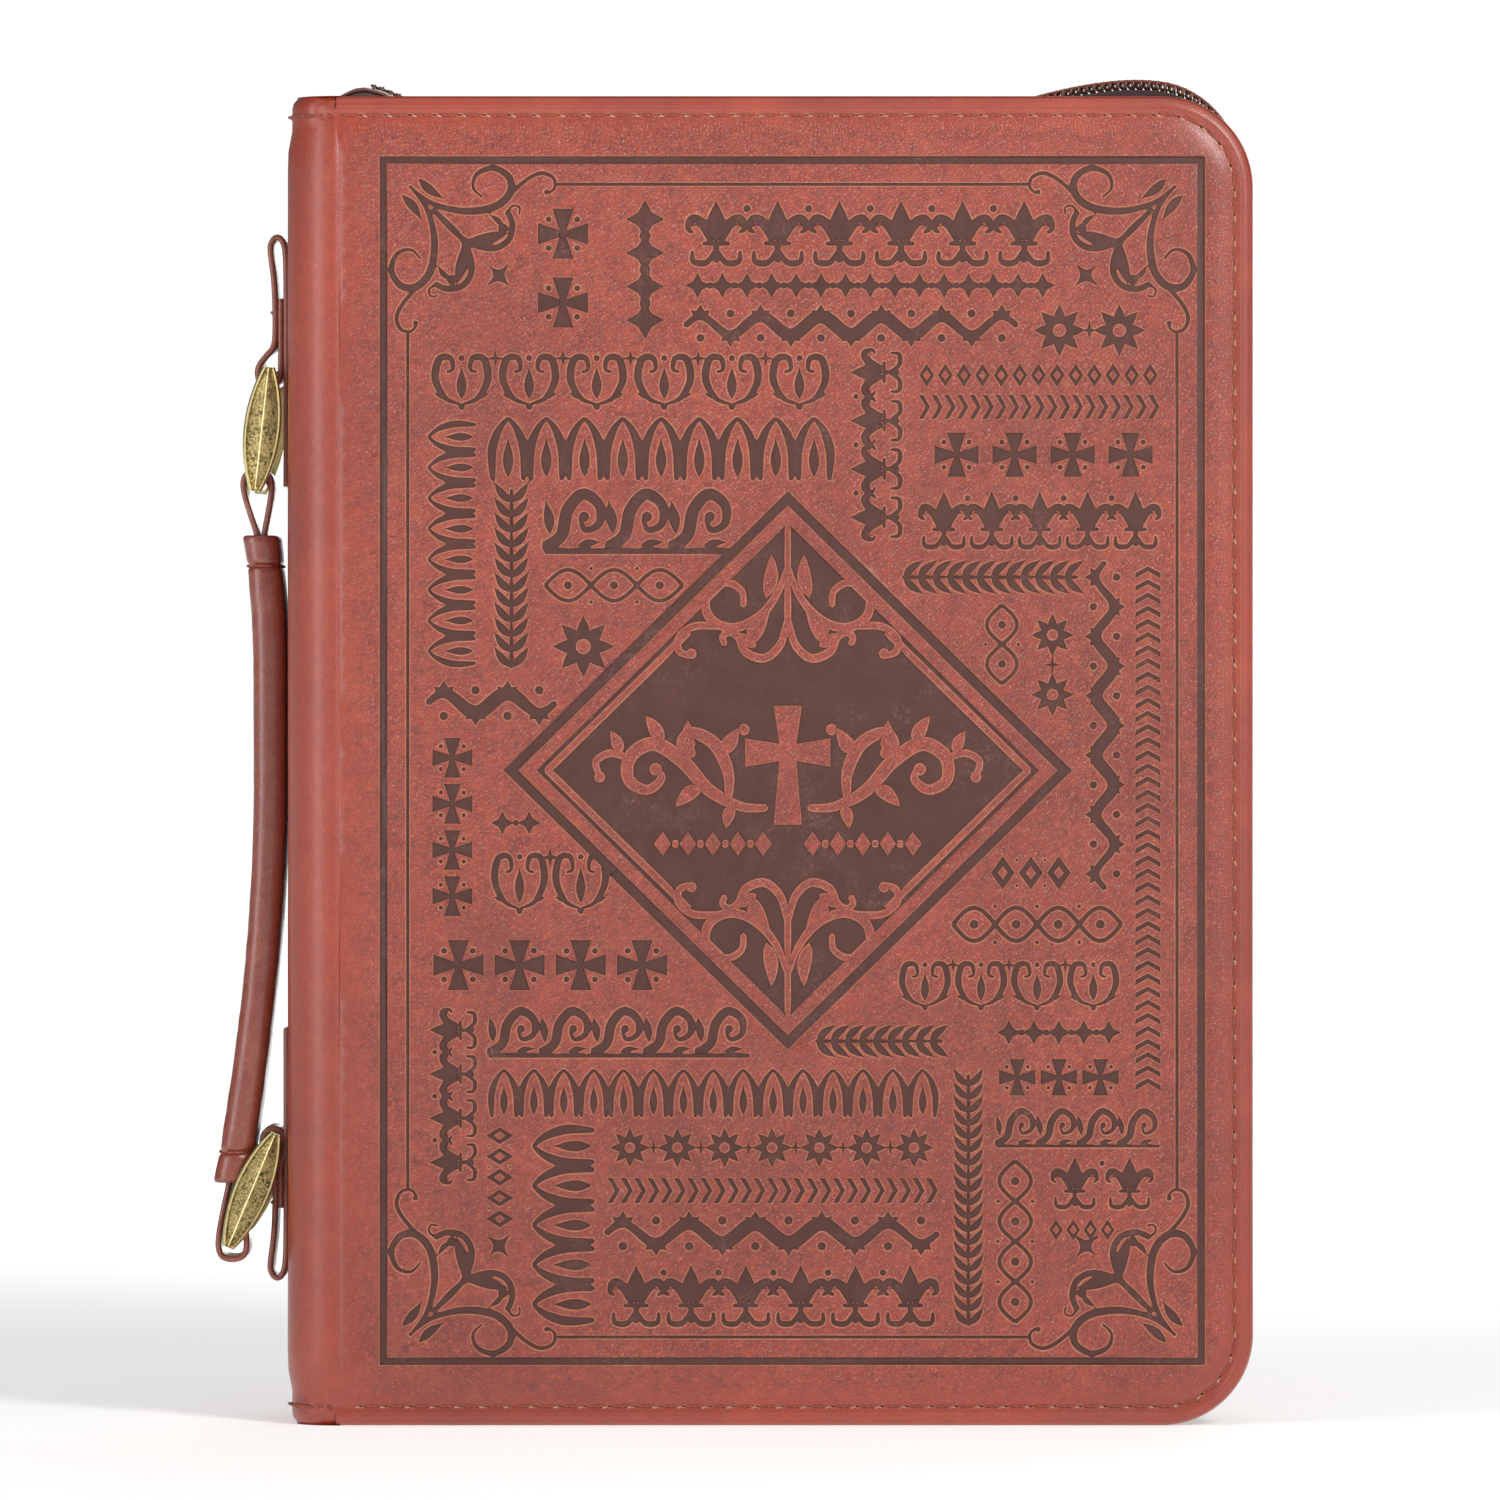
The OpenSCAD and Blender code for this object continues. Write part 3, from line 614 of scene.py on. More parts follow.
def band_guilloche(l, h):
    n, c = cells_of(l, h, 0.95)
    out = []
    for phase in (0, 1):
        line = [Vector((l * i / (n * 12),
                        h / 2 + 0.37 * h * math.sin(math.pi * i / 12 + math.pi * phase)))
                for i in range(n * 12 + 1)]
        out.append(stroke(line, 0.15 * h))
    out += [disc(c * (i + 0.5), h / 2, 0.13 * h) for i in range(n)]
    out += [disc(c * i, z, 0.07 * h) for i in range(1, n) for z in (0.1 * h, 0.9 * h)]
    return out


def band_laurel(l, h):
    n, c = cells_of(l, h, 0.36)
    out = [stroke([Vector((l * i / 8, h / 2)) for i in range(9)], 0.12 * h)]
    for i in range(n):
        for side in (-1, 1):
            out.append(leaf(c * i, h / 2, side * 38, min(0.74 * h, c * 2), 0.26 * h,
                            side * 0.03 * h))
    return out


def band_scrolls(l, h):
    """A running wave: each crest curls over and grows from the foot of the one before."""
    n, c = cells_of(l, h, 0.98)
    out = [stroke([Vector((l * i / 8, 0.06 * h)) for i in range(9)], 0.12 * h)]
    for i in range(n):
        x, k = c * i, min(c / 0.98, h)
        crest = curve([(x, 0.12 * h), (x + 0.26 * c, 0.3 * h), (x + 0.36 * c, 0.68 * h),
                       (x + 0.6 * c, 0.92 * h), (x + 0.86 * c, 0.76 * h),
                       (x + 0.86 * c, 0.48 * h), (x + 0.64 * c, 0.38 * h),
                       (x + 0.56 * c, 0.56 * h)], 0.4)
        out.append(stroke(crest, 0.22 * k, 0.1 * k, 0.06 * k))
        out.append(disc(x + 0.62 * c, 0.58 * h, 0.1 * k))
        out.append(leaf(x + 0.08 * c, 0.3 * h, 98, 0.56 * h, 0.2 * k, -0.02 * k))
        out.append(leaf(x + 0.5 * c, 0.14 * h, 8, 0.42 * c, 0.16 * k, 0.02 * k))
    return out


def band_vine(l, h):
    """A waving stem with a pair of leaves on each crest and berries in the hollows."""
    n, c = cells_of(l, h, 0.74)
    line = [Vector((l * i / (n * 10), h / 2 + 0.22 * h * math.sin(math.pi * i / 10)))
            for i in range(n * 10 + 1)]
    out = [stroke(line, 0.2 * h, 0.2 * h, 0.2 * h)]
    for i in range(n):
        x, flip = c * (i + 0.5), (1 if i % 2 == 0 else -1)
        base = h / 2 + flip * 0.2 * h
        for turn in (38, 142):
            out.append(leaf(x, base, flip * turn, 0.46 * min(c, h), 0.2 * h))
        out.append(leaf(x, base, flip * 90, 0.36 * h, 0.24 * h))
        out.append(disc(x, h / 2 - flip * 0.3 * h, 0.13 * h, 10))
    return out


def band_rosettes(l, h):
    n, c = cells_of(l, h, 1.12)
    out, holes = [], []
    for i in range(n):
        x = c * (i + 0.5)
        r = min(h, c) / 2
        for k in range(8):
            a = 45 * k
            out.append(leaf(x + 0.16 * r * math.cos(math.radians(a)),
                            h / 2 + 0.16 * r * math.sin(math.radians(a)), a, 0.84 * r, 0.44 * r))
        out.append(disc(x, h / 2, 0.36 * r))
        holes.append(disc(x, h / 2, 0.2 * r))
        if i:
            out.append(star(c * i, h / 2, 0.2 * h, 0.07 * h, 4))
    return out, holes


def band_crosses(l, h):
    n, c = cells_of(l, h, 1.02)
    out = []
    for i in range(n):
        x = c * (i + 0.5)
        out.append(cross(x, h / 2, 0.42 * h, 0.42 * h, 0.42 * h, 0.07 * h, 0.12 * h))
        for k in range(4):
            a = math.radians(45 + 90 * k)
            out.append(disc(x + 0.33 * h * math.cos(a), h / 2 + 0.33 * h * math.sin(a), 0.07 * h))
    return out


def band_beads(l, h):
    n, c = cells_of(l, h, 0.9)
    out = []
    for i in range(n):
        out.append(star(c * (i + 0.5), h / 2, 0.5 * h, 0.27 * h, 4))
        if i:
            out.append(disc(c * i, h / 2, 0.17 * h))
    return out


def band_arches(l, h):
    """Pointed arches, each with a bud inside."""
    n, c = cells_of(l, h, 0.62)
    out = []
    for i in range(n):
        x = c * (i + 0.5)
        for side in (-1, 1):
            line = curve([(x + side * 0.4 * c, 0), (x + side * 0.42 * c, 0.45 * h),
                          (x + side * 0.26 * c, 0.78 * h), (x, h)], 0.6)
            out.append(stroke(line, 0.17 * c, 0.13 * c, 0.15 * c))
        out.append(leaf(x, 0.02 * h, 90, 0.68 * h, 0.34 * c))
    return out


def band_flourish(l, h):
    """Pairs of scrolls that face each other round an upright leaf."""
    n, c = cells_of(l, h, 1.04)
    out = []
    for i in range(n):
        x, k = c * (i + 0.5), min(c / 1.04, h)
        for side in (-1, 1):
            line = curve([(x + side * 0.02 * k, 0.1 * h), (x + side * 0.26 * k, 0.2 * h),
                          (x + side * 0.42 * k, 0.5 * h), (x + side * 0.36 * k, 0.82 * h),
                          (x + side * 0.18 * k, 0.84 * h), (x + side * 0.14 * k, 0.66 * h),
                          (x + side * 0.24 * k, 0.62 * h)], 0.4)
            out.append(stroke(line, 0.07 * k, 0.08 * k, 0.09 * k))
            out.append(leaf(x + side * 0.2 * k, 0.2 * h, 90 - side * 74, 0.28 * k, 0.13 * k))
        out.append(leaf(x, 0.16 * h, 90, 0.56 * h, 0.2 * k))
        out.append(disc(x, 0.06 * h, 0.075 * k))
        out.append(disc(x, 0.84 * h, 0.07 * k))
        if i:
            out.append(star(c * i, 0.84 * h, 0.15 * h, 0.06 * h, 4))
    return out


def band_braid(l, h):
    n, c = cells_of(l, h, 0.5)
    out = []
    for i in range(n):
        x = c * i
        out.append([Vector(p) for p in [(x + 0.02 * c, 0), (x + 0.56 * c, 0), (x + 1.1 * c, h / 2),
                                        (x + 0.56 * c, h), (x + 0.02 * c, h),
                                        (x + 0.56 * c, h / 2)]])
    return out


BANDS = {"buds": band_buds, "lozenges": band_lozenges, "guilloche": band_guilloche,
         "laurel": band_laurel, "scrolls": band_scrolls, "vine": band_vine,
         "rosettes": band_rosettes, "crosses": band_crosses, "beads": band_beads,
         "arches": band_arches, "flourish": band_flourish, "braid": band_braid}

# Each band: pattern, left, low, right, high (mm from the spine and the ground); upright bands
# run from bottom to top
LEVEL = [
    ("buds", 78.5, 227.6, 151, 240.6), ("beads", 78.5, 221, 151, 226.4),
    ("vine", 78.5, 211.8, 143.5, 219.8), ("rosettes", 146, 209.5, 169.5, 220.3),
    ("flourish", 28, 199.2, 107.5, 211.4), ("lozenges", 124, 203.6, 171.5, 208.6),
    ("braid", 124, 197.4, 171.5, 202.4), ("arches", 40, 185.6, 107.5, 197.8),
    ("crosses", 126, 185.2, 171.5, 195.8), ("scrolls", 51, 170.8, 88, 183.8),
    ("buds", 124.5, 172, 171.5, 183.6), ("guilloche", 51, 160.8, 78, 169),
    ("laurel", 121, 162.6, 155.5, 170.4), ("rosettes", 51, 146.6, 66, 159.2),
    ("vine", 28, 137.6, 53, 146), ("beads", 40, 115.8, 50.5, 120.8),
    ("flourish", 40, 100.2, 64, 113.8), ("crosses", 28, 84.4, 76, 96.4),
    ("scrolls", 40, 72, 91, 82.2), ("arches", 40, 60.6, 128, 70),
    ("rosettes", 63, 50.4, 128, 58.8), ("braid", 63, 43.6, 128, 48.8),
    ("vine", 63, 33.6, 128, 42), ("buds", 63.5, 19.6, 128, 31.8),
    ("lozenges", 138, 105, 154.5, 112), ("guilloche", 131, 94, 164, 102.8),
    ("flourish", 120, 81.4, 164, 92.2), ("laurel", 104, 71.6, 129, 79.4),
    ("beads", 139.5, 74.6, 164, 79.8), ("crosses", 139.5, 64, 164, 72.8),
    ("scrolls", 139.5, 54.4, 171.5, 62.4), ("buds", 149.5, 42.6, 171, 53),
    ("lozenges", 149.5, 36.2, 163, 40.8),
]
UPRIGHT = [
    ("arches", 28, 149, 37.4, 197), ("laurel", 40.4, 148.6, 48.4, 183.8),
    ("crosses", 48.5, 213.6, 60.5, 240.6), ("beads", 66.6, 213.6, 74.6, 240),
    ("buds", 110.5, 173.5, 121, 211.4), ("guilloche", 136.6, 145.6, 144.6, 161),
    ("rosettes", 146, 137.6, 155, 161), ("vine", 157, 105.4, 164.6, 169.4),
    ("braid", 166.6, 65.6, 171.8, 168.6), ("crosses", 28, 99.4, 37.6, 135.6),
    ("buds", 28, 47.4, 37.6, 82), ("lozenges", 39.2, 38.6, 45, 59),
    ("arches", 48.6, 20, 60.6, 58.8), ("laurel", 130.4, 19.6, 137.6, 69),
    ("guilloche", 139, 20.4, 147.4, 52),
]


class Tooling:
    """Shapes stacked in layers: each is dark tooling or the raised leather left inside it."""

    def __init__(self):
        self.shapes = []

    def add(self, layer, dark, *outlines):
        for outline in outlines:
            twice = sum(a.x * b.y - b.x * a.y
                        for a, b in zip(outline, outline[1:] + outline[:1]))
            points = list(outline) if twice > 0 else list(reversed(outline))
            self.shapes.append((layer, dark, points))


def draw_bands(tooling):
    for bands, upright in ((LEVEL, False), (UPRIGHT, True)):
        for name, x0, z0, x1, z1 in bands:
            l, h = (z1 - z0, x1 - x0) if upright else (x1 - x0, z1 - z0)
            drawn = BANDS[name](l, h)
            dark, holes = drawn if isinstance(drawn, tuple) else (drawn, [])
            for layer, is_dark, outlines in ((3, True, dark), (4, False, holes)):
                for o in outlines:
                    points = [Vector((x1 - p.y, z0 + p.x)) if upright
                              else Vector((x0 + p.x, z0 + p.y)) for p in o]
                    tooling.add(layer, is_dark, points)


FRAME_LEFT, FRAME_RIGHT = 18.4, 180.6
FRAME_LOW, FRAME_HIGH = 11.8, CASE_H - 11.8
RULE_W, THIN_W, RULE_GAP = 1.7, 0.95, 5.2


def corner_spray():
    """Vine scrolls for one corner, in mm inwards from the frame's corner, mirrored later."""
    half = [
        stroke(curve([(6.2, 6.2), (10.5, 9.4), (16.5, 10.9), (22.4, 10.2), (25.6, 7.6),
                      (25.6, 4.4), (22.6, 2.5), (19.3, 3.6), (18.5, 6.3), (20.3, 8.2)], 0.5),
               0.85, 0.8, 1.2),
        stroke(curve([(25.0, 8.6), (28.4, 5.2), (31.6, 3.5), (34.1, 4.3), (34.5, 6.3),
                      (33.2, 7.5)], 0.5), 1.05, 0.9, 0.3),
        disc(32.9, 7.2, 0.75),
        stroke(curve([(10.4, 10.6), (14.6, 14.9), (18.6, 17.5), (22.6, 18.2), (25.4, 16.6),
                      (26.2, 13.6), (25.2, 11.0)], 0.5), 0.95, 1.6, 0.4),
        stroke(curve([(25.2, 11.4), (26.2, 9.9), (27.6, 10.2), (27.5, 11.6)], 0.4), 1.0, 0.8),
        leaf(25.2, 15.2, 172, 8.4, 2.7, -0.5),
        leaf(24.6, 14.4, 222, 4.6, 1.6, 0.4),
        disc(24.3, 14.2, 1.15),
        leaf(7.6, 4.4, 38, 7.0, 2.3, 0.35),
    ]
    mirrored = [[Vector((p.y, p.x)) for p in o] for o in half]
    a, b = 21.4, 25.6
    square = curve([(a, a), ((a + b) / 2, a + 0.8), (b, a - 0.3), (b - 0.7, (a + b) / 2),
                    (b + 0.3, b + 0.3), ((a + b) / 2, b - 0.7), (a - 0.3, b),
                    (a + 0.8, (a + b) / 2), (a, a)], 0.8)[:-1]
    return half + mirrored + [square, disc(6.2, 6.2, 0.6)]


def draw_frame(tooling):
    left, right, low, high = FRAME_LEFT, FRAME_RIGHT, FRAME_LOW, FRAME_HIGH

    def box(x0, z0, x1, z1):
        return [Vector(p) for p in [(x0, z0), (x1, z0), (x1, z1), (x0, z1)]]

    w, g, t, clear = RULE_W, RULE_GAP, THIN_W, 34.6
    tooling.add(1, True, box(left, low, right, high))
    tooling.add(2, False, box(left + w, low + w, right - w, high - w))
    for z in (low + g, high - g - t):
        tooling.add(3, True, box(left + clear, z, right - clear, z + t))
    for x in (left + g, right - g - t):
        tooling.add(3, True, box(x, low + clear, x + t, high - clear))
    for x, dx in ((left, 1), (right, -1)):
        for z, dz in ((low, 1), (high, -1)):
            for o in corner_spray():
                tooling.add(3, True, [Vector((x + dx * p.x, z + dz * p.y)) for p in o])


LOZ_U, LOZ_Z, LOZ_A, LOZ_B = 98.6, 128.6, 56.0, 55.0


def lozenge(inset):
    k = 1 - inset / LOZ_B
    return [Vector((LOZ_U + a, LOZ_Z + b)) for a, b in
            [(LOZ_A * k, 0), (0, LOZ_B * k), (-LOZ_A * k, 0), (0, -LOZ_B * k)]]


def lozenge_spray():
    """Raised scrollwork that hangs from the lozenge's upper corner, in mm from that corner."""
    half = [
        stroke(curve([(0.2, 15.5), (1.6, 19.4), (4.2, 23.4), (7.8, 26.2), (11.6, 27.0),
                      (15.0, 25.4), (16.2, 22.2), (14.8, 19.2), (11.6, 18.2), (9.0, 19.9),
                      (8.7, 22.6)], 0.5), 0.6, 0.65, 0.75),
        stroke(curve([(10.8, 27.0), (15.0, 26.6), (18.8, 26.9), (21.4, 29.0), (21.3, 31.6),
                      (19.4, 32.4)], 0.5), 0.95, 0.85, 0.1),
        disc(18.9, 32.1, 0.8),
        stroke(curve([(0.2, 26.0), (1.5, 30.4), (4.6, 33.0), (8.2, 31.8), (9.6, 29.0),
                      (11.4, 27.9), (12.8, 28.8), (12.4, 30.1)], 0.5), 0.75, 0.7, 0.5),
        leaf(7.4, 30.2, -118, 8.0, 3.0, 0.5),
        leaf(6.4, 30.6, -40, 3.6, 1.7, 0.2),
        leaf(4.2, 21.0, -97, 8.2, 2.3, -0.5),
    ]
    mirrored = [[Vector((-p.x, p.y)) for p in o] for o in half]
    stem = stroke([Vector((0, 5.4 + i * 2.3)) for i in range(11)], 0.7, 0.95)
    return half + mirrored + [stem]


def draw_lozenge(tooling):
    tooling.add(5, True, lozenge(0))
    tooling.add(6, False, lozenge(3.3))
    tooling.add(7, True, lozenge(6.4))
    for way in (1, -1):
        for o in lozenge_spray():
            tooling.add(8, False, [Vector((LOZ_U + p.x, LOZ_Z + way * (LOZ_B - p.y)))
                                   for p in o])
    for side in (-1, 1):
        for way in (-1, 1):
            k0, k1 = 0.415, 1.0
            rule = [Vector((LOZ_U + side * (LOZ_A - 8.9) * k,
                            LOZ_Z + way * (LOZ_B - 8.8) * (1 - k)))
                    for k in [k0 + (k1 - k0) * i / 20 for i in range(21)]]
            tooling.add(8, False, stroke(rule, 0.95))
    draw_emblem(tooling)


def draw_emblem(tooling):
    """A plain cross between leaf scrolls, over a row of small lozenges."""
    x, z = LOZ_U, LOZ_Z
    tooling.add(8, False, cross(x, z + 3.5, 8.2, 9.0, 14.0, 1.5, 1.1))
    for side in (-1, 1):
        def at(a, b):
            return (x + side * a, z + 1.6 + b)
        main = curve([at(4.4, -9.0), at(9.5, -8.6), at(15.5, -5.4), at(20.6, 0.2),
                      at(26.2, 3.6), at(30.8, 1.2), at(31.2, -3.4), at(27.6, -5.4),
                      at(24.8, -3.2), at(26.2, -0.8)], 0.5)
        tooling.add(8, False, stroke(main, 0.9, 0.8, 1.5))
        upper = curve([at(11.8, -7.8), at(11.6, -2.4), at(14.2, 3.4), at(18.8, 5.8),
                       at(21.0, 3.6), at(19.0, 1.6)], 0.5)
        tooling.add(8, False, stroke(upper, 0.8, 0.8, 1.3))
        tail = curve([at(30.9, 0.6), at(34.6, 1.8), at(37.6, 0.2), at(37.0, -2.4)], 0.5)
        tooling.add(8, False, stroke(tail, 0.9, 0.7, 0.2))
        for a, b, angle, length, width in (
                (13.6, 1.6, 128, 6.2, 2.5), (20.4, 0.6, 96, 7.4, 2.6), (16.8, -4.6, -38, 6.4, 2.3),
                (24.8, 3.4, 62, 6.2, 2.3), (10.6, -8.4, -72, 4.6, 1.9), (33.0, 1.4, 70, 4.8, 1.9)):
            facing = angle if side > 0 else 180 - angle
            tooling.add(8, False, leaf(*at(a, b), facing, length, width, side * 0.4))
        for a, b, r in ((19.3, 1.9, 1.0), (25.9, -1.4, 1.0), (36.9, -2.9, 0.85),
                        (8.6, 6.4, 0.9)):
            tooling.add(8, False, disc(*at(a, b), r))
    for i in range(-5, 6):
        cx, cz = x + i * 4.9, z - 14.4
        if i:
            tooling.add(8, False, [Vector(p) for p in [(cx - 1.5, cz), (cx, cz - 2.1),
                                                       (cx + 1.5, cz), (cx, cz + 2.1)]])
        if abs(i) > 1:
            tooling.add(8, False, disc(cx - 2.45 * (1 if i > 0 else -1), cz, 0.55))


# ---------- outline of a cover ----------

def ease(t):
    t = min(1.0, max(0.0, t))
    return t * t * (3 - 2 * t)


def rim(inset, step=1.4):
    """Points along the three open sides at an inset, from the lower spine end round to the top,
    each with its direction out of the cover."""
    u0, r = PANEL_U, CORNER_R - inset
    right, low, high = CASE_W - CORNER_R, CORNER_R, CASE_H - CORNER_R
    out = []
    count = round((right - u0) / step)
    out += [((u0 + (right - u0) * i / count, inset), (0, -1)) for i in range(count)]
    arc = round(math.pi / 2 * CORNER_R / step * 1.3)
    for i in range(arc):
        a = -math.pi / 2 + math.pi / 2 * i / arc
        out.append(((right + r * math.cos(a), low + r * math.sin(a)),
                    (math.cos(a), math.sin(a))))
    up = round((high - low) / step)
    out += [((right + r, low + (high - low) * i / up), (1, 0)) for i in range(up)]
    for i in range(arc):
        a = math.pi / 2 * i / arc
        out.append(((right + r * math.cos(a), high + r * math.sin(a)),
                    (math.cos(a), math.sin(a))))
    out += [((right + (u0 - right) * i / count, CASE_H - inset), (0, 1))
            for i in range(count + 1)]
    return out


def rim_distance(u, z):
    """How far a point on the cover is from the nearest open side."""
    right, low, high = CASE_W - CORNER_R, CORNER_R, CASE_H - CORNER_R
    if u > right and (z < low or z > high):
        return CORNER_R - math.hypot(u - right, z - (low if z < low else high))
    return min(z, CASE_H - z, CASE_W - u)


STITCH_DEEP = 0.42
EDGE_IN = 2.6


def cover_height(u, z):
    """Height of the leather over the flat of the cover: padded, drawn down along the stitches."""
    d = rim_distance(u, z)
    sewn = math.exp(-((d - STITCH_INSET) / 0.95) ** 2)
    wave = noise.noise(Vector((u / 34, z / 34, 3.1))) * 0.12
    slope = 1.15 * (1 - ease((d - STITCH_INSET) / 8.5)) + 0.5 * (1 - ease((d - 0.5) / 3.3))
    return -STITCH_DEEP * sewn - 0.12 - slope + wave * ease((d - 5) / 10)


def calm_at(u, z):
    """1 where the leather is rubbed smooth near its rims, 0 over the field."""
    d = rim_distance(u, z)
    return 1 - 0.85 * ease((d - 2) / 7) * ease((u - 6) / 14)


# The turned edge: inset from the rim and depth, with the fine ridges of the folded layers
RIM_PROFILE = [(2.3, 1.1), (2.05, 1.0), (1.8, 1.02), (1.6, 1.16), (1.4, 1.12), (1.15, 1.2),
               (0.95, 1.42), (0.75, 1.44), (0.45, 1.75), (0.2, 2.2), (0.04, 2.7), (0.0, 3.1),
               (0.1, 3.7), (0.55, 4.5), (1.3, 4.9), (2.4, 5.0)]


# What a face shows: leather (also False), dark tooling (True) or a needle hole, which is coloured
# near black as painted shade
LEATHER, HOLE = 0, 2


def seam_line(inset):
    """Length and place function of a line along the three open sides at an inset."""
    r = CORNER_R - inset
    right, up = CASE_W - CORNER_R, CASE_H - 2 * CORNER_R
    flat, bend = right - PANEL_U, math.pi / 2 * r
    total = 2 * flat + 2 * bend + up

    def at(s):
        if s < flat:
            return Vector((PANEL_U + s, inset)), 0
        if s < flat + bend:
            a = (s - flat) / r
            return Vector((right + r * math.sin(a), CORNER_R - r * math.cos(a))), a
        if s < flat + bend + up:
            return Vector((right + r, CORNER_R + s - flat - bend)), math.pi / 2
        if s < flat + 2 * bend + up:
            a = math.pi / 2 + (s - flat - bend - up) / r
            return Vector((right + r * math.sin(a), CASE_H - CORNER_R - r * math.cos(a))), a
        return Vector((right - (s - flat - 2 * bend - up), CASE_H - inset)), math.pi
    return total, at


def needle_holes(tooling, side):
    total, at = seam_line(STITCH_INSET)
    count = round(total / STITCH_PITCH)
    for i in range(1, count):
        spot, turn = at(total * i / count)
        lean = turn + side * math.radians(14)
        along, across = Vector((math.cos(lean), math.sin(lean))), Vector((-math.sin(lean),
                                                                            math.cos(lean)))
        tooling.add(1, HOLE, [spot + along * 0.72 * math.cos(TAU * k / 8)
                              + across * 0.38 * math.sin(TAU * k / 8) for k in range(8)])


def build_panel(name, side, body, replaces, tooled):
    """One cover's leather, turned over its three open edges. side -1 is the front."""
    tooling = Tooling()
    needle_holes(tooling, side)
    if tooled:
        draw_frame(tooling)
        draw_bands(tooling)
        draw_lozenge(tooling)
    edge = [Vector(p) for p, _ in rim(EDGE_IN)]
    points, faces, lines, shapes = list(edge), [list(range(len(edge)))], [], [None]
    for layer, dark, outline in tooling.shapes:
        first = len(points)
        points += outline
        faces.append(list(range(first, len(points))))
        shapes.append((layer, dark))
    for offset in (-1.1, -0.55, 0.0, 0.55, 1.1, 2.0):
        first = len(points)
        row = [Vector(p) for p, _ in rim(STITCH_INSET + offset, 1.6)]
        points += row
        lines += [(first + i, first + i + 1) for i in range(len(row) - 1)]
    pitch = 2.6 if tooled else 3.2
    rows = int(CASE_H / (pitch * 0.866))
    for j in range(rows):
        for i in range(int(CASE_W / pitch)):
            u = PANEL_U + pitch * (i + 0.5 * (j % 2) + 0.3)
            z = pitch * 0.866 * (j + 0.5)
            if rim_distance(u, z) > STITCH_INSET + 2.6:
                points.append(Vector((u, z)))
    flat, _, tris, _, _, owners = delaunay_2d_cdt(points, lines, faces, 0, 1e-4)
    dark_of, kept = [], []
    for tri, owner in zip(tris, owners):
        if 0 not in owner:
            continue
        top = max((shapes[k] for k in owner if k), default=(0, LEATHER))
        kept.append(tri)
        dark_of.append(top[1])
    build_relief(name, side, body, replaces, flat, kept, dark_of)


TOOL_DEPTH = 0.5
WALL = [(0.12, 0.1), (0.28, 0.38), (0.36, 0.5)]


def build_relief(name, side, body, replaces, flat, tris, dark_of):
    """Sinks the dark faces and joins them to the leather by walls whose upper strips are coloured
    as a painted highlight, then adds the turned rim. Needle holes are coloured near black as
    painted shade.
    """
    seen = {}
    for t, tri in enumerate(tris):
        for a, b in zip(tri, tri[1:] + tri[:1]):
            seen.setdefault((min(a, b), max(a, b)), []).append((t, a, b))
    walls, inward = [], {}
    border = []
    for users in seen.values():
        if len(users) == 1:
            border.append(users[0][1:])
            continue
        (t0, a0, b0), (t1, a1, b1) = users[:2]
        if dark_of[t0] == dark_of[t1]:
            continue
        a, b = (a0, b0) if dark_of[t0] else (a1, b1)
        walls.append((a, b))
        run = flat[b] - flat[a]
        side_in = Vector((-run.y, run.x))
        for k in (a, b):
            inward[k] = inward.get(k, Vector((0, 0))) + side_in.normalized()
    tree = kdtree.KDTree(len(inward) or 1)
    for k in inward:
        tree.insert((*flat[k], 0), k)
    tree.balance()
    verts = [[p.x, cover_height(p.x, p.y), p.y] for p in flat]
    levels = {}
    for k, way in inward.items():
        reach = WALL[-1][0]
        if way.length > 1e-6:
            way = way.normalized()
        for shrink in (1, 0.75, 0.5, 0.3, 0.12):
            spot = flat[k] + way * reach * shrink
            if tree.find((*spot, 0))[2] >= reach * shrink * 0.75:
                break
        ring = []
        for move, deep in WALL:
            spot = flat[k] + way * move * shrink
            ring.append(len(verts))
            verts.append([spot.x, cover_height(spot.x, spot.y) - deep, spot.y])
        levels[k] = ring
    for t, tri in enumerate(tris):
        if dark_of[t]:
            for k in tri:
                if k not in levels and verts[k][1] > -TOOL_DEPTH + 0.02:
                    verts[k][1] -= TOOL_DEPTH
    faces, spots = [], []
    for t, tri in enumerate(tris):
        faces.append(tuple(levels[k][-1] if dark_of[t] and k in levels else k for k in tri))
        # needle-hole faces take the near-black painted shade
        spots.append((0, 1, 3)[dark_of[t]])
    for a, b in walls:
        chain_a, chain_b = [a, *levels[a]], [b, *levels[b]]
        for i in range(len(WALL)):
            faces.append((chain_b[i], chain_a[i], chain_a[i + 1], chain_b[i + 1]))
            # the upper two wall strips take the paler painted highlight leather, the lowest the
            # dark tooling
            spots.append(2 if i < 2 else 1)
    calm = [calm_at(v[0], v[2]) for v in verts]
    add_turned_rim(verts, faces, spots, calm, border, flat)
    world = [(u, side * (HALF_T + h), z) for u, h, z in verts]
    if side > 0:
        faces = turned(faces)
    obj = make_piece(name, world, faces, [M["leather"], M["ink"], M["edge"], M["hole"]], body,
                     "cover_leather", replaces, spots, calm)
    sharpen(obj, 55)


